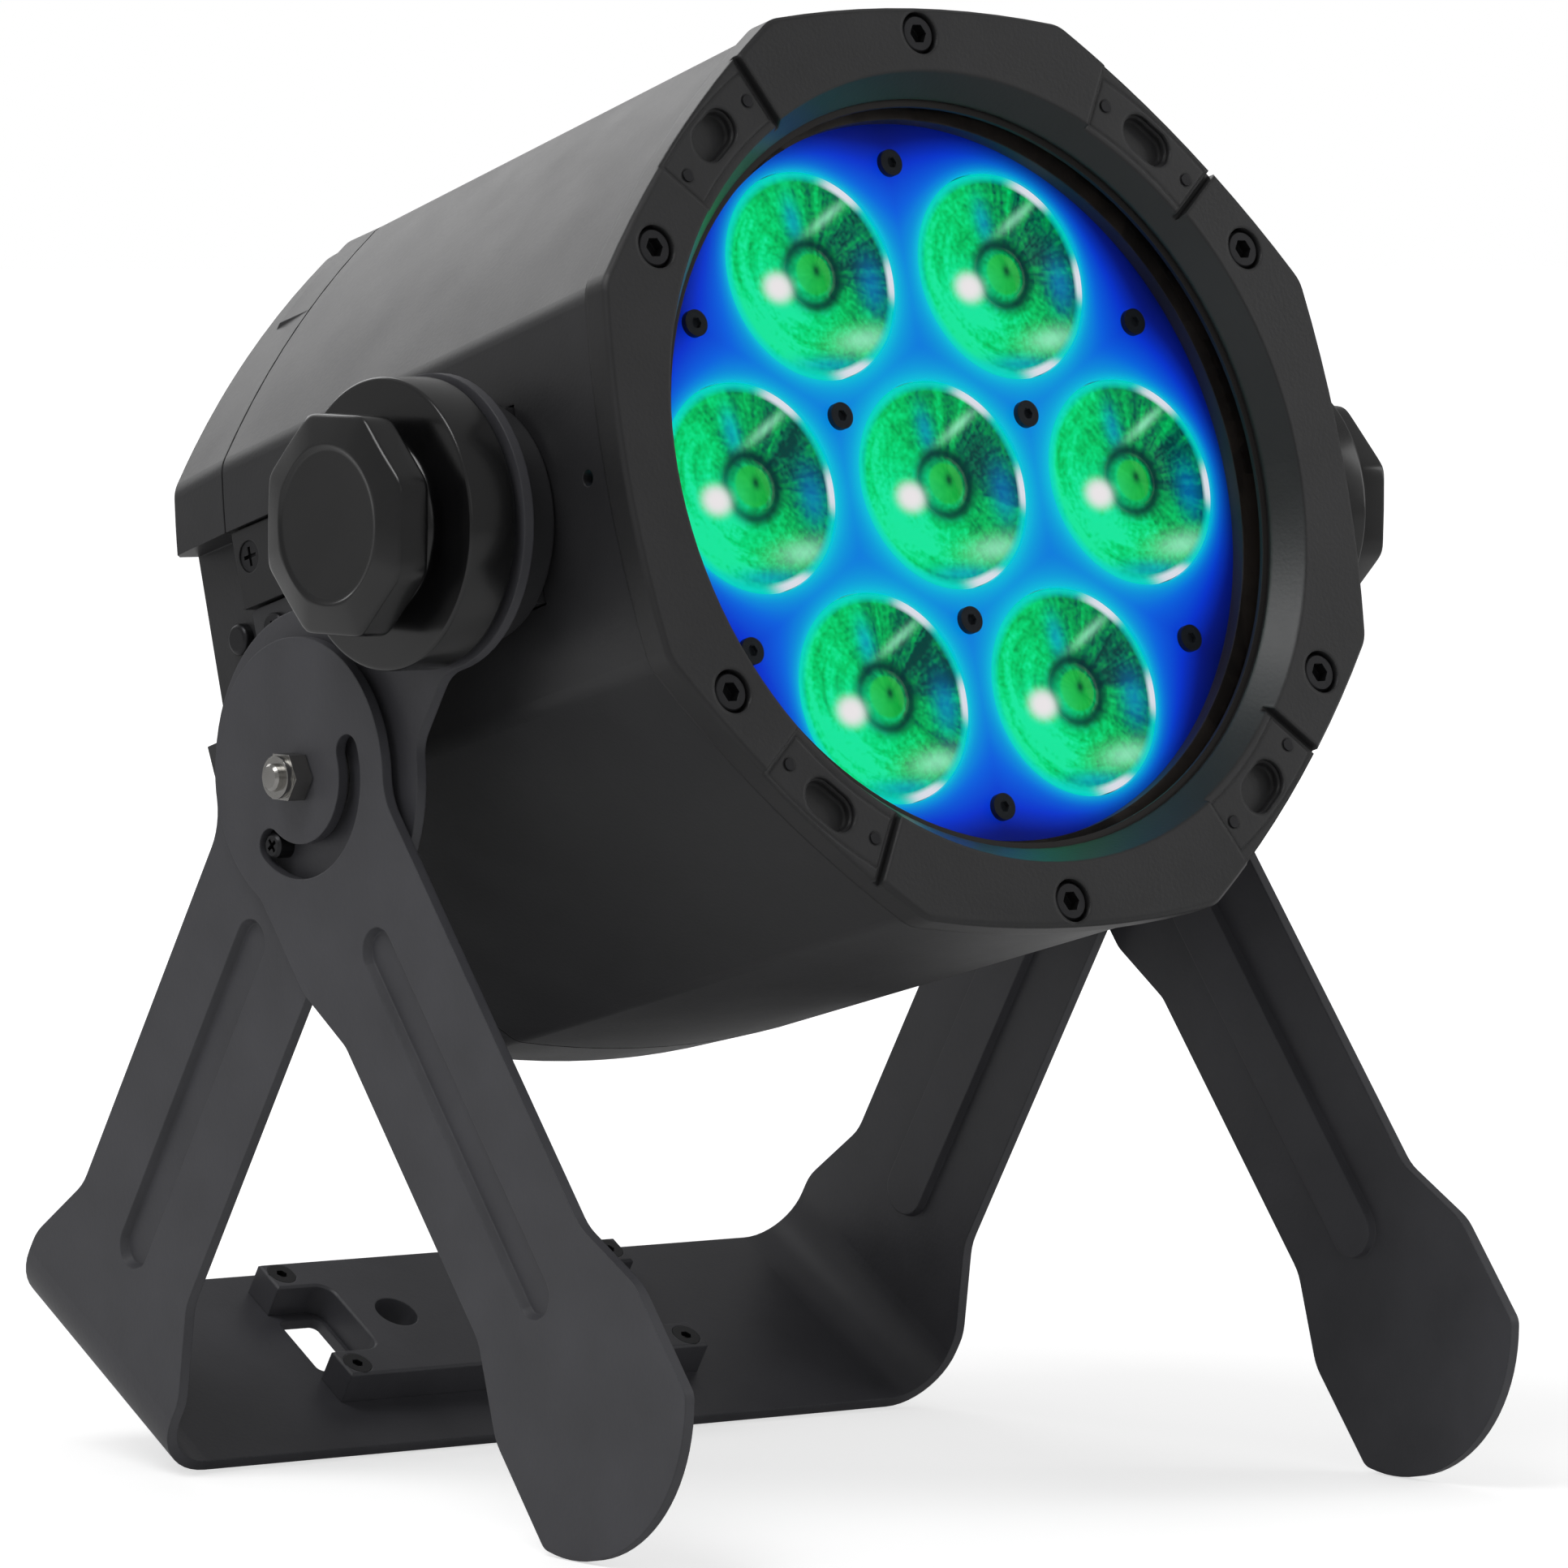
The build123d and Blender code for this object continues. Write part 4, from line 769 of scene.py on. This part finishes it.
class Finish(Enum):
    """Finishes of the light's parts that don't depend on a place."""

    STAND = PowderCoat("stand_coat_satin", (0.066, 0.066, 0.074), 0.44, 0.0011, 0.00004)
    HEAD = PowderCoat("head_coat_satin", (0.026, 0.026, 0.028), 0.40)
    BEZEL = PowderCoat("bezel_coat_satin", (0.022, 0.022, 0.023), 0.38, edge=0.0011)
    RAIL = PowderCoat("rail_coat_satin", (0.016, 0.016, 0.017), 0.46)
    KNOB = Moulded("knob_moulded", (0.0042, 0.0042, 0.0045), 0.24, 0.0008, 0.000006, 0.30)
    NYLON = Moulded("nylon_washer_matt", (0.02, 0.02, 0.02), 0.5)
    SEAL = Moulded("seal_rubber_matt", (0.010, 0.008, 0.007), 0.6, 0.0005, 0.00002)
    BUTTON = Moulded("button_rubber_matt", (0.03, 0.03, 0.032), 0.55, 0.0005, 0.00002)
    SOCKET = Moulded("socket_moulded", (0.010, 0.010, 0.011), 0.35)
    RETAINER = PowderCoat("retainer_matt", (0.030, 0.022, 0.017), 0.5)
    SUPPLY = PlatedSteel("supply_case_plain", (0.45, 0.45, 0.45), 0.4)
    ZINC = PlatedSteel("zinc_bright", (0.46, 0.45, 0.43), 0.20)
    BLACK_SCREW = PlatedSteel("screw_black_oxide", (0.045, 0.045, 0.048), 0.36, 0.8)
    STOP_PLATE = PlatedSteel("stop_plate_dark", (0.10, 0.10, 0.105), 0.38, 0.9)
    LENS_SCREW = PlatedSteel("lens_screw_black", (0.006, 0.012, 0.020), 0.5, 0.3)
    ALUMINIUM = PlatedSteel("aluminium_mill", (0.55, 0.55, 0.56), 0.38)
    BOARD = CircuitBoard("circuit_board_green")
    LED_BOARD = CircuitBoard("led_board_white", (0.65, 0.65, 0.63), (0.72, 0.72, 0.70))
    LED = Moulded("led_phosphor", (0.75, 0.62, 0.12), 0.3)
    GLASS = ClearPane("front_glass_clear")
    SCREEN = DarkScreen("display_screen_dark")


# ------------------------------------------------------------------ mesh tools
def mesh_piece(name: str, points: np.ndarray, faces: np.ndarray, material: bpy.types.Material,
               smooth: bool = True) -> bpy.types.Object:
    """Object from arrays of points and four-cornered faces.

    Args:
        name: Name of the piece.
        points: Array of n points, in metres.
        faces: Array of m faces with four point numbers each.
        material: The piece's finish.
        smooth: Whether the faces shade smoothly.

    Returns:
        The new object, at the origin.
    """
    mesh = bpy.data.meshes.new(name)
    mesh.from_pydata(points.tolist(), [], faces.tolist())
    mesh.validate()
    mesh.polygons.foreach_set("use_smooth", np.full(len(mesh.polygons), smooth))
    mesh.materials.append(material)
    made = bpy.data.objects.new(name, mesh)
    bpy.context.scene.collection.objects.link(made)
    return made


def turned_faces(rows: int, turns: int) -> np.ndarray:
    """Faces of a grid of rows by turns that closes on itself along the turns.

    Face (i, j) joins rows i and i + 1 between turns j and j + 1, counted round.

    Args:
        rows: Number of rings of points.
        turns: Number of points in a ring.

    Returns:
        Array of faces with four point numbers each.
    """
    i, j = np.meshgrid(np.arange(rows - 1), np.arange(turns), indexing="ij")
    k = (j + 1) % turns
    corners = [i * turns + j, i * turns + k, (i + 1) * turns + k, (i + 1) * turns + j]
    return np.stack(corners, -1).reshape(-1, 4)


def eased(profile: Sequence[Tuple[float, float]], radii: Sequence[float], steps: int = 5) -> np.ndarray:
    """Profile with rounded corners.

    Each corner with radius r is cut back by r along both sides and joined by a quadratic
    curve P(t) = (1-t)^2 A + 2t(1-t) C + t^2 B, where C is the corner.

    Args:
        profile: Corners as pairs.
        radii: One radius per corner; 0 keeps the corner.
        steps: Points in each rounded corner.

    Returns:
        Array of points along the eased profile.
    """
    corners = np.asarray(profile, float)
    points: List[np.ndarray] = []
    for n, corner in enumerate(corners):
        if n in (0, len(corners) - 1) or radii[n] == 0:
            points.append(corner)
            continue
        before, after = corners[n - 1] - corner, corners[n + 1] - corner
        back, ahead = np.linalg.norm(before), np.linalg.norm(after)
        first = corner + before / back * min(radii[n], REACH * back)
        last = corner + after / ahead * min(radii[n], REACH * ahead)
        t = np.linspace(0, 1, steps)[:, None]
        points.extend((1 - t) ** 2 * first + 2 * t * (1 - t) * corner + t ** 2 * last)
    return np.asarray(points)


def side_of(node: str) -> float:
    """Which side of the middle a node is on: -1.0 for the left and 1.0 for the right."""
    low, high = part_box(node)
    return -1.0 if low[0] + high[0] < 0 else 1.0


def close_shape(piece: bpy.types.Object) -> None:
    """Merges the doubled points at poles and turns the faces outwards.

    Args:
        piece: Object whose mesh is closed in place.
    """
    work = bmesh.new()
    work.from_mesh(piece.data)
    bmesh.ops.remove_doubles(work, verts=work.verts, dist=MERGE)
    bmesh.ops.recalc_face_normals(work, faces=work.faces)
    work.to_mesh(piece.data)
    work.free()


# ------------------------------------------------------------------ sub-assemblies
@dataclass
class Dressing:
    """Base of the sub-assemblies: finishes for carried-over nodes."""

    finishes: Dict[Finish, bpy.types.Material]

    def dress(self, finish: Finish, nodes: Iterable[str]) -> None:
        """Gives a finish to CAD nodes.

        Args:
            finish: The finish.
            nodes: Names of the nodes.
        """
        for node in nodes:
            mesh = frame["nodes"][node].data
            mesh.materials.clear()
            mesh.materials.append(self.finishes[finish])
            LOG.info("%s: %s", node, self.finishes[finish].name)


@dataclass
class Stand(Dressing):
    """Yoke with its clamp plate, folding front legs and their pivots."""

    def build(self) -> None:
        """Dresses the stand."""
        self.dress(Finish.STAND, ["yoke", "front_leg_left", "front_leg_right", "rigging_plate"])
        self.dress(Finish.ZINC, ["leg_studs", "leg_spacers", "leg_nuts"])
        self.dress(Finish.BLACK_SCREW, ["rigging_screws", "stop_screws"])


@dataclass(frozen=True)
class Corner:
    """Corner of the knob's profile, in metres, with its share of the octagon from 0 to 1."""

    along: float
    radius: float
    rounding: float = 0.0
    share: float = 0.0


@dataclass
class TiltKnob(Dressing):
    """One moulded tilt knob: round disc, neck and eight-sided grip with a sunk face."""

    node: str
    body: str
    disc_r: float = 31.3 * MM
    neck_r: float = 17.5 * MM
    flat: float = 23.4 * MM
    grip: float = 10.0 * MM
    disc: float = 12.2 * MM
    fillet: float = 1.2 * MM
    grip_lip: float = 0.2 * MM
    grip_edge: float = 1.9 * MM
    face_drop: float = 0.05 * MM
    face_r: float = 17.0 * MM
    sink: float = 0.5 * MM
    sink_r: float = 16.2 * MM
    power: float = 38.0
    turns: int = 256

    def outline(self, angle: np.ndarray) -> np.ndarray:
        """Radius factor of a rounded octagon.

        The factor is 1 / (sum |cos(a - k 45)|^p)^(1/p) over k = 0 to 3, the p-norm of the four pairs
        of sides, where a large power p gives sharp corners.

        Args:
            angle: Angles round the knob.

        Returns:
            Radius factors, about 1 at the middle of a side.
        """
        waves = [np.abs(np.cos(angle - k * math.pi / 4)) ** self.power for k in range(4)]
        return 1.0 / np.sum(waves, axis=0) ** (1.0 / self.power)

    def corners(self) -> List[Corner]:
        """Corners of the profile, from the middle of the back round to the middle of the face.

        Returns:
            The corners.
        """
        ends = [abs(corner[0]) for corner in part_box(self.node)]
        back, face = min(ends), max(ends)
        disc_end, grip_back = back + self.disc, face - self.grip
        return [
            Corner(back, 0.0),
            Corner(back, self.disc_r, 1.2 * MM),
            Corner(disc_end, self.disc_r, 0.9 * MM),
            Corner(disc_end, self.neck_r + self.fillet, 1.5 * MM),
            Corner(grip_back, self.neck_r, 0.8 * MM),
            Corner(grip_back + self.grip_lip, self.flat, 1.3 * MM, 1.0),
            Corner(face - self.grip_edge, self.flat, 0.9 * MM, 1.0),
            Corner(face - self.face_drop, self.face_r, 0.5 * MM),
            Corner(face - self.sink, self.sink_r, 0.5 * MM),
            Corner(face - self.sink, 0.0)]

    def build(self) -> bpy.types.Object:
        """Builds the knob and lets it stand for its CAD node.

        Point (s, a) of the surface is (x(s), r(s) q cos a, r(s) q sin a), where (x, r) runs
        along the eased profile and q goes from a circle to the octagon on the grip.

        Returns:
            The knob.
        """
        corners = self.corners()
        path = eased([(c.along, c.radius) for c in corners], [c.rounding for c in corners], 6)
        share = np.interp(np.arange(len(path)), self.places(corners, path), [c.share for c in corners])
        angle = np.linspace(0, 2 * math.pi, self.turns, endpoint=False)
        factor = 1.0 + share[:, None] * (self.outline(angle)[None, :] - 1.0)
        radius = path[:, 1:2] * factor
        centre = joint_place("head_tilt")
        along = np.broadcast_to(side_of(self.node) * path[:, :1], radius.shape)
        grid = [along, centre.y + radius * np.cos(angle), centre.z + radius * np.sin(angle)]
        points = np.stack(grid, -1).reshape(-1, 3)
        faces = turned_faces(len(path), self.turns)
        knob = mesh_piece(f"{self.node}_moulding", points, faces, self.finishes[Finish.KNOB])
        close_shape(knob)
        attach(knob, self.body)
        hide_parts(self.node)
        LOG.info("%s: %d points", knob.name, len(knob.data.vertices))
        return knob

    @staticmethod
    def places(corners: Sequence[Corner], path: np.ndarray) -> List[int]:
        """Numbers of the path's points that are nearest to the corners.

        Args:
            corners: Corners of the profile.
            path: Points along the eased profile.

        Returns:
            One point number per corner.
        """
        return [int(np.argmin(np.hypot(path[:, 0] - c.along, path[:, 1] - c.radius))) for c in corners]


@dataclass
class LightEngine(Dressing):
    """Lens plate, lenses, emitters and what holds and cools them.

    Lengths are in metres, apart from face_in, dome_in and grooves, whose radii are in lens radii.
    """

    tilt: float = math.radians(16.5)
    drop: float = 1.8 * MM
    plate_front: float = 34.7 * MM
    lens_r: float = 23.4 * MM
    ring_r: float = 54.4 * MM
    plate_r: float = 84.5 * MM
    depth: float = 18.5 * MM
    foot_r: float = 9.0 * MM
    foot_sink: float = 0.2 * MM
    edge_drop: float = 2.2 * MM
    face_drop: float = 0.5 * MM
    face_rise: float = 1.5 * MM
    face_in: float = 0.37
    middle_rise: float = 0.6 * MM
    dome_rise: float = 0.5 * MM
    dome_in: float = 0.22
    grooves: Tuple[Tuple[float, float], ...] = ((0.26, 0.6 * MM), (0.32, 0.4 * MM))
    turn_step: float = 1.7
    turns: int = 128

    def place(self, x: float, w: float, u: float) -> Vector:
        """Row-frame place of a point in the head.

        Args:
            x: Place across.
            w: Place up the plate.
            u: Place ahead of the tilt axis.

        Returns:
            The place, in metres.
        """
        pivot = joint_place("head_tilt")
        cosine, sine = math.cos(self.tilt), math.sin(self.tilt)
        high = w - self.drop
        return Vector((x, pivot.y - u * cosine + high * sine, pivot.z + u * sine + high * cosine))

    def centres(self) -> List[Tuple[float, float]]:
        """Places of the seven lenses on the plate.

        Returns:
            Places across and up: the middle lens, then the ring of six.
        """
        angles = [math.radians(60 * i) for i in range(6)]
        return [(0.0, 0.0)] + [(self.ring_r * math.cos(a), self.ring_r * math.sin(a)) for a in angles]

    def lens_profile(self) -> np.ndarray:
        """Profile (r, u) of one lens, from the middle of its face round to its foot.

        The face is nearly flat and rises towards the middle: u = front - 0.5 mm + 1.5 mm *
        (1 - r/R)^1.3. Inside it are a ring groove and a low dome. The back narrows to the foot:
        r = R - (R - foot) k^1.5, where k goes from the edge to the foot.

        Returns:
            Array of points as pairs, in metres.
        """
        front, lens_r = self.plate_front, self.lens_r
        middle, edge = front + self.middle_rise, front - self.edge_drop
        dome = [(lens_r * r, middle + self.dome_rise * (1 - (r / self.dome_in) ** 2))
                for r in np.linspace(0.0, self.dome_in, 8)]
        groove = [(lens_r * r, middle - deep) for r, deep in self.grooves]
        face = [(lens_r * r, front - self.face_drop + self.face_rise * (1 - r) ** 1.3)
                for r in np.linspace(1.0, self.face_in, 26)[::-1]]
        back = [(lens_r - (lens_r - self.foot_r) * k ** 1.5, edge - (self.depth - self.edge_drop) * k)
                for k in np.linspace(0.1, 1.0, 10)]
        foot = (0.0, front - self.depth + self.foot_sink)
        return np.asarray(dome + groove + face + [(lens_r, edge)] + back + [foot])

    def build(self) -> None:
        """Builds the lenses and dresses the rest."""
        fronts = tuple(tuple(self.place(x, w, self.plate_front)) for x, w in self.centres())
        plate = frame["nodes"]["lens_plate"].data
        plate.materials.clear()
        plate.materials.append(LitPlate("lens_plate_lit", fronts, self.lens_r, self.plate_r).build())
        self.lenses(LitLens("lens_lit").build())
        self.dress(Finish.LENS_SCREW, ["lens_screws"])
        self.dress(Finish.ZINC, ["lens_posts", "sink_screws"])
        self.dress(Finish.LED_BOARD, ["led_board"])
        self.dress(Finish.LED, ["led_emitters"])
        self.dress(Finish.ALUMINIUM, ["heat_sink", "chassis_plate"])
        self.dress(Finish.SUPPLY, ["power_supply"])
        self.dress(Finish.BOARD, ["driver_board"])

    def lenses(self, material: bpy.types.Material) -> bpy.types.Object:
        """Builds the seven lenses as one piece.

        Point (s, a) of a lens is its centre plus r(s) cos a across, r(s) sin a up and u(s)
        ahead. The attribute "spot" keeps (r cos a / R, r sin a / R, sin 2a + cos a + 1.7 n) for
        lens n.

        Args:
            material: The lenses' finish.

        Returns:
            The piece.
        """
        profile = self.lens_profile()
        angle = np.linspace(0, 2 * math.pi, self.turns, endpoint=False)
        across = profile[:, :1] * np.cos(angle)
        up = profile[:, :1] * np.sin(angle)
        ahead = np.broadcast_to(profile[:, 1:2], across.shape)
        turn = np.broadcast_to(np.sin(angle * 2.0) + np.cos(angle), across.shape)
        base = np.asarray(self.place(0, 0, 0))
        x_dir, w_dir, u_dir = (np.asarray(self.place(*v)) - base for v in ((1, 0, 0), (0, 1, 0), (0, 0, 1)))
        blocks, faces, marks = [], [], []
        grid = turned_faces(len(profile), self.turns)
        for number, (x, w) in enumerate(self.centres()):
            block = (base + (x + across)[..., None] * x_dir + (w + up)[..., None] * w_dir
                     + ahead[..., None] * u_dir).reshape(-1, 3)
            blocks.append(block)
            faces.append(grid + number * len(block))
            spots = [across / self.lens_r, up / self.lens_r, turn + number * self.turn_step]
            marks.append(np.stack(spots, -1).reshape(-1, 3))
        piece = mesh_piece("lens_mouldings", np.concatenate(blocks), np.concatenate(faces), material)
        spot = piece.data.attributes.new("spot", "FLOAT_VECTOR", "POINT")
        spot.data.foreach_set("vector", np.concatenate(marks).ravel())
        close_shape(piece)
        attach(piece, "head")
        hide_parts("lenses")
        LOG.info("%s: %d points", piece.name, len(piece.data.vertices))
        return piece


@dataclass
class HeadShell(Dressing):
    """Barrel, bezel, rear cover, glass and the side channels' fittings."""

    def build(self) -> None:
        """Dresses the shell."""
        self.dress(Finish.HEAD, ["barrel", "rear_cover", "trunnion_left", "trunnion_right"])
        self.dress(Finish.BEZEL, ["bezel", "accessory_plates"])
        self.dress(Finish.RAIL, ["side_rail_left", "side_rail_right"])
        self.dress(Finish.BLACK_SCREW, [
            "bezel_screws", "accessory_screws", "rail_screws", "stop_plate_screws", "cover_screws",
            "channel_screws", "trunnion_screws"])
        self.dress(Finish.STOP_PLATE, ["rail_stops"])
        self.dress(Finish.SEAL, ["bezel_seal", "glass_gasket", "rear_seal", "rear_feet"])
        self.dress(Finish.RETAINER, ["glass_retainer"])
        self.dress(Finish.GLASS, ["front_glass"])
        self.dress(Finish.ZINC, ["safety_eye", "knob_screw_left", "knob_screw_right"])
        self.dress(Finish.NYLON, ["knob_washer_left", "knob_washer_right"])


@dataclass
class RearPanel(Dressing):
    """Controls and sockets on the rear cover."""

    def build(self) -> None:
        """Dresses the panel."""
        self.dress(Finish.SCREEN, ["display_window"])
        self.dress(Finish.BOARD, ["display_board"])
        self.dress(Finish.BUTTON, [f"menu_button_{i}" for i in range(1, 5)])
        self.dress(Finish.SOCKET, ["power_in", "power_out", "data_in", "data_out", "vent_plug"])


@dataclass(frozen=True)
class Lamp:
    """Soft rectangular light: place from the object's middle and size in metres, power in watts."""

    name: str
    away: Tuple[float, float, float]
    size: Tuple[float, float]
    power: float

    def build(self, centre: Vector) -> bpy.types.Object:
        """Makes the light, aimed at the object.

        Args:
            centre: The object's middle.

        Returns:
            The light.
        """
        data = bpy.data.lights.new(self.name, "AREA")
        data.shape = "RECTANGLE"
        data.size, data.size_y = self.size
        data.energy = self.power
        made = bpy.data.objects.new(self.name, data)
        made.location = centre + Vector(self.away)
        made.rotation_euler = Vector(self.away).to_track_quat("Z", "Y").to_euler()
        bpy.context.scene.collection.objects.link(made)
        return made


@dataclass
class Studio:
    """Camera, floor, lights and surroundings; angles in degrees, offset from the tilt axis in metres."""

    azimuth: float = -39.54
    elevation: float = 3.77
    roll: float = 0.77
    offset: Tuple[float, float, float] = (-1.41947, -1.69993, 0.0864)
    lens: float = 230.6
    sensor: float = 36.0
    farthest: float = 50.0
    floor_half: float = 14.0
    floor_gap: float = 0.0002
    floor_reach: float = 2.5
    ambient: float = 0.30
    lamps: Tuple[Lamp, ...] = (
        Lamp("key_top_left", (-1.5, -0.2, 2.2), (1.2, 1.2), 20.0),
        Lamp("rim_back", (0.3, 2.4, 1.2), (2.2, 1.2), 11.5),
        Lamp("fill_front", (-1.6, -2.4, 1.0), (1.2, 1.2), 1.6),
        Lamp("fill_right", (2.4, -1.2, 0.9), (0.8, 1.6), 7.0))

    def camera(self) -> bpy.types.Object:
        """Camera placed from the tilt axis, looking along its azimuth and elevation.

        Returns:
            The camera.
        """
        az, el, roll = (math.radians(v) for v in (self.azimuth, self.elevation, self.roll))
        back = Vector((math.sin(az) * math.cos(el), -math.cos(az) * math.cos(el), math.sin(el)))
        right = Vector((math.cos(az), math.sin(az), 0.0))
        up = back.cross(right)
        across = right * math.cos(roll) + up * math.sin(roll)
        high = up * math.cos(roll) - right * math.sin(roll)
        data = bpy.data.cameras.new("camera")
        data.lens = self.lens
        data.sensor_width = self.sensor
        data.clip_end = self.farthest
        made = bpy.data.objects.new("camera", data)
        turn = Matrix((across, high, back)).transposed().to_4x4()
        made.matrix_world = Matrix.Translation(joint_place("head_tilt") + Vector(self.offset)) @ turn
        bpy.context.scene.collection.objects.link(made)
        bpy.context.scene.camera = made
        return made

    def floor(self, low: Sequence[float]) -> bpy.types.Object:
        """Pale floor under the object: bright to the eye and dimmer as a light.

        Args:
            low: Lowest corner of the object.

        Returns:
            The floor.
        """
        side = np.array([[-1, -1], [1, -1], [1, 1], [-1, 1]]) * self.floor_half
        points = np.column_stack([side, np.full(4, low[2] - self.floor_gap)])
        material = bpy.data.materials.new("floor_pale")
        graph = Graph(material)
        away = graph.distance(graph.place(), (0.0, 0.0, low[2]))
        glow = graph.ramp((away / self.floor_reach).clamp(), [
            (0.0, (0.58, 0.58, 0.58)), (0.12, (0.64, 0.64, 0.64)), (1.0, (0.90, 0.90, 0.90))])
        dim = graph.node("ShaderNodeBsdfDiffuse", None, {"Color": (0.85, 0.85, 0.85, 1.0)})
        bright = graph.node("ShaderNodeBsdfPrincipled", None, {
            "Base Color": (0.80, 0.80, 0.80, 1.0), "Roughness": 0.7, "Emission Color": glow,
            "Emission Strength": 1.0, "Specular IOR Level": 0.1})
        both = self.seen_or_lit(graph, bright, dim)
        graph.node("ShaderNodeOutputMaterial", None, {"Surface": both})
        made = mesh_piece("floor", points, np.array([[0, 1, 2, 3]]), material, False)
        made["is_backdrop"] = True
        return made

    @staticmethod
    def seen_or_lit(graph: Graph, seen: bpy.types.Node, lit: bpy.types.Node) -> bpy.types.NodeSocket:
        """One shader for what the camera sees and another for the light that it gives.

        Args:
            graph: Graph of the material or world.
            seen: Shader for the camera.
            lit: Shader for every other ray.

        Returns:
            The mixed shader's socket.
        """
        eye = graph.node("ShaderNodeLightPath").outputs["Is Camera Ray"]
        inputs = {0: eye, 1: lit.outputs[0], 2: seen.outputs[0]}
        return graph.node("ShaderNodeMixShader", None, inputs).outputs[0]

    def surroundings(self) -> None:
        """Soft even surroundings: white to the eye and dimmer as a light."""
        world = bpy.data.worlds.new("studio")
        bpy.context.scene.world = world
        graph = Graph(world)
        shown = graph.node("ShaderNodeBackground", None, {"Color": WHITE, "Strength": 1.0})
        lit = graph.node("ShaderNodeBackground", None, {"Color": WHITE, "Strength": self.ambient})
        both = self.seen_or_lit(graph, shown, lit)
        graph.node("ShaderNodeOutputWorld", None, {"Surface": both})

    def build(self, low: Sequence[float], high: Sequence[float]) -> None:
        """Sets up the whole studio round the object.

        Args:
            low: Lowest corner of the object's box.
            high: Highest corner of the object's box.
        """
        centre = (Vector(low) + Vector(high)) / 2
        self.camera()
        self.floor(low)
        self.surroundings()
        for lamp in self.lamps:
            lamp.build(centre)
        bpy.context.scene.view_settings.view_transform = "Standard"


def main() -> None:
    """Builds every sub-assembly in order."""
    logging.basicConfig(level=logging.INFO, format="%(name)s %(message)s")
    cad_low, cad_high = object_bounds()
    finishes = {finish: finish.value.build() for finish in Finish}
    Stand(finishes).build()
    for hand in ("left", "right"):
        TiltKnob(finishes, f"tilt_knob_{hand}", f"tilt_knob_{hand}").build()
    HeadShell(finishes).build()
    LightEngine(finishes).build()
    RearPanel(finishes).build()
    Studio().build(cad_low, cad_high)


if __name__ == "__main__":
    main()
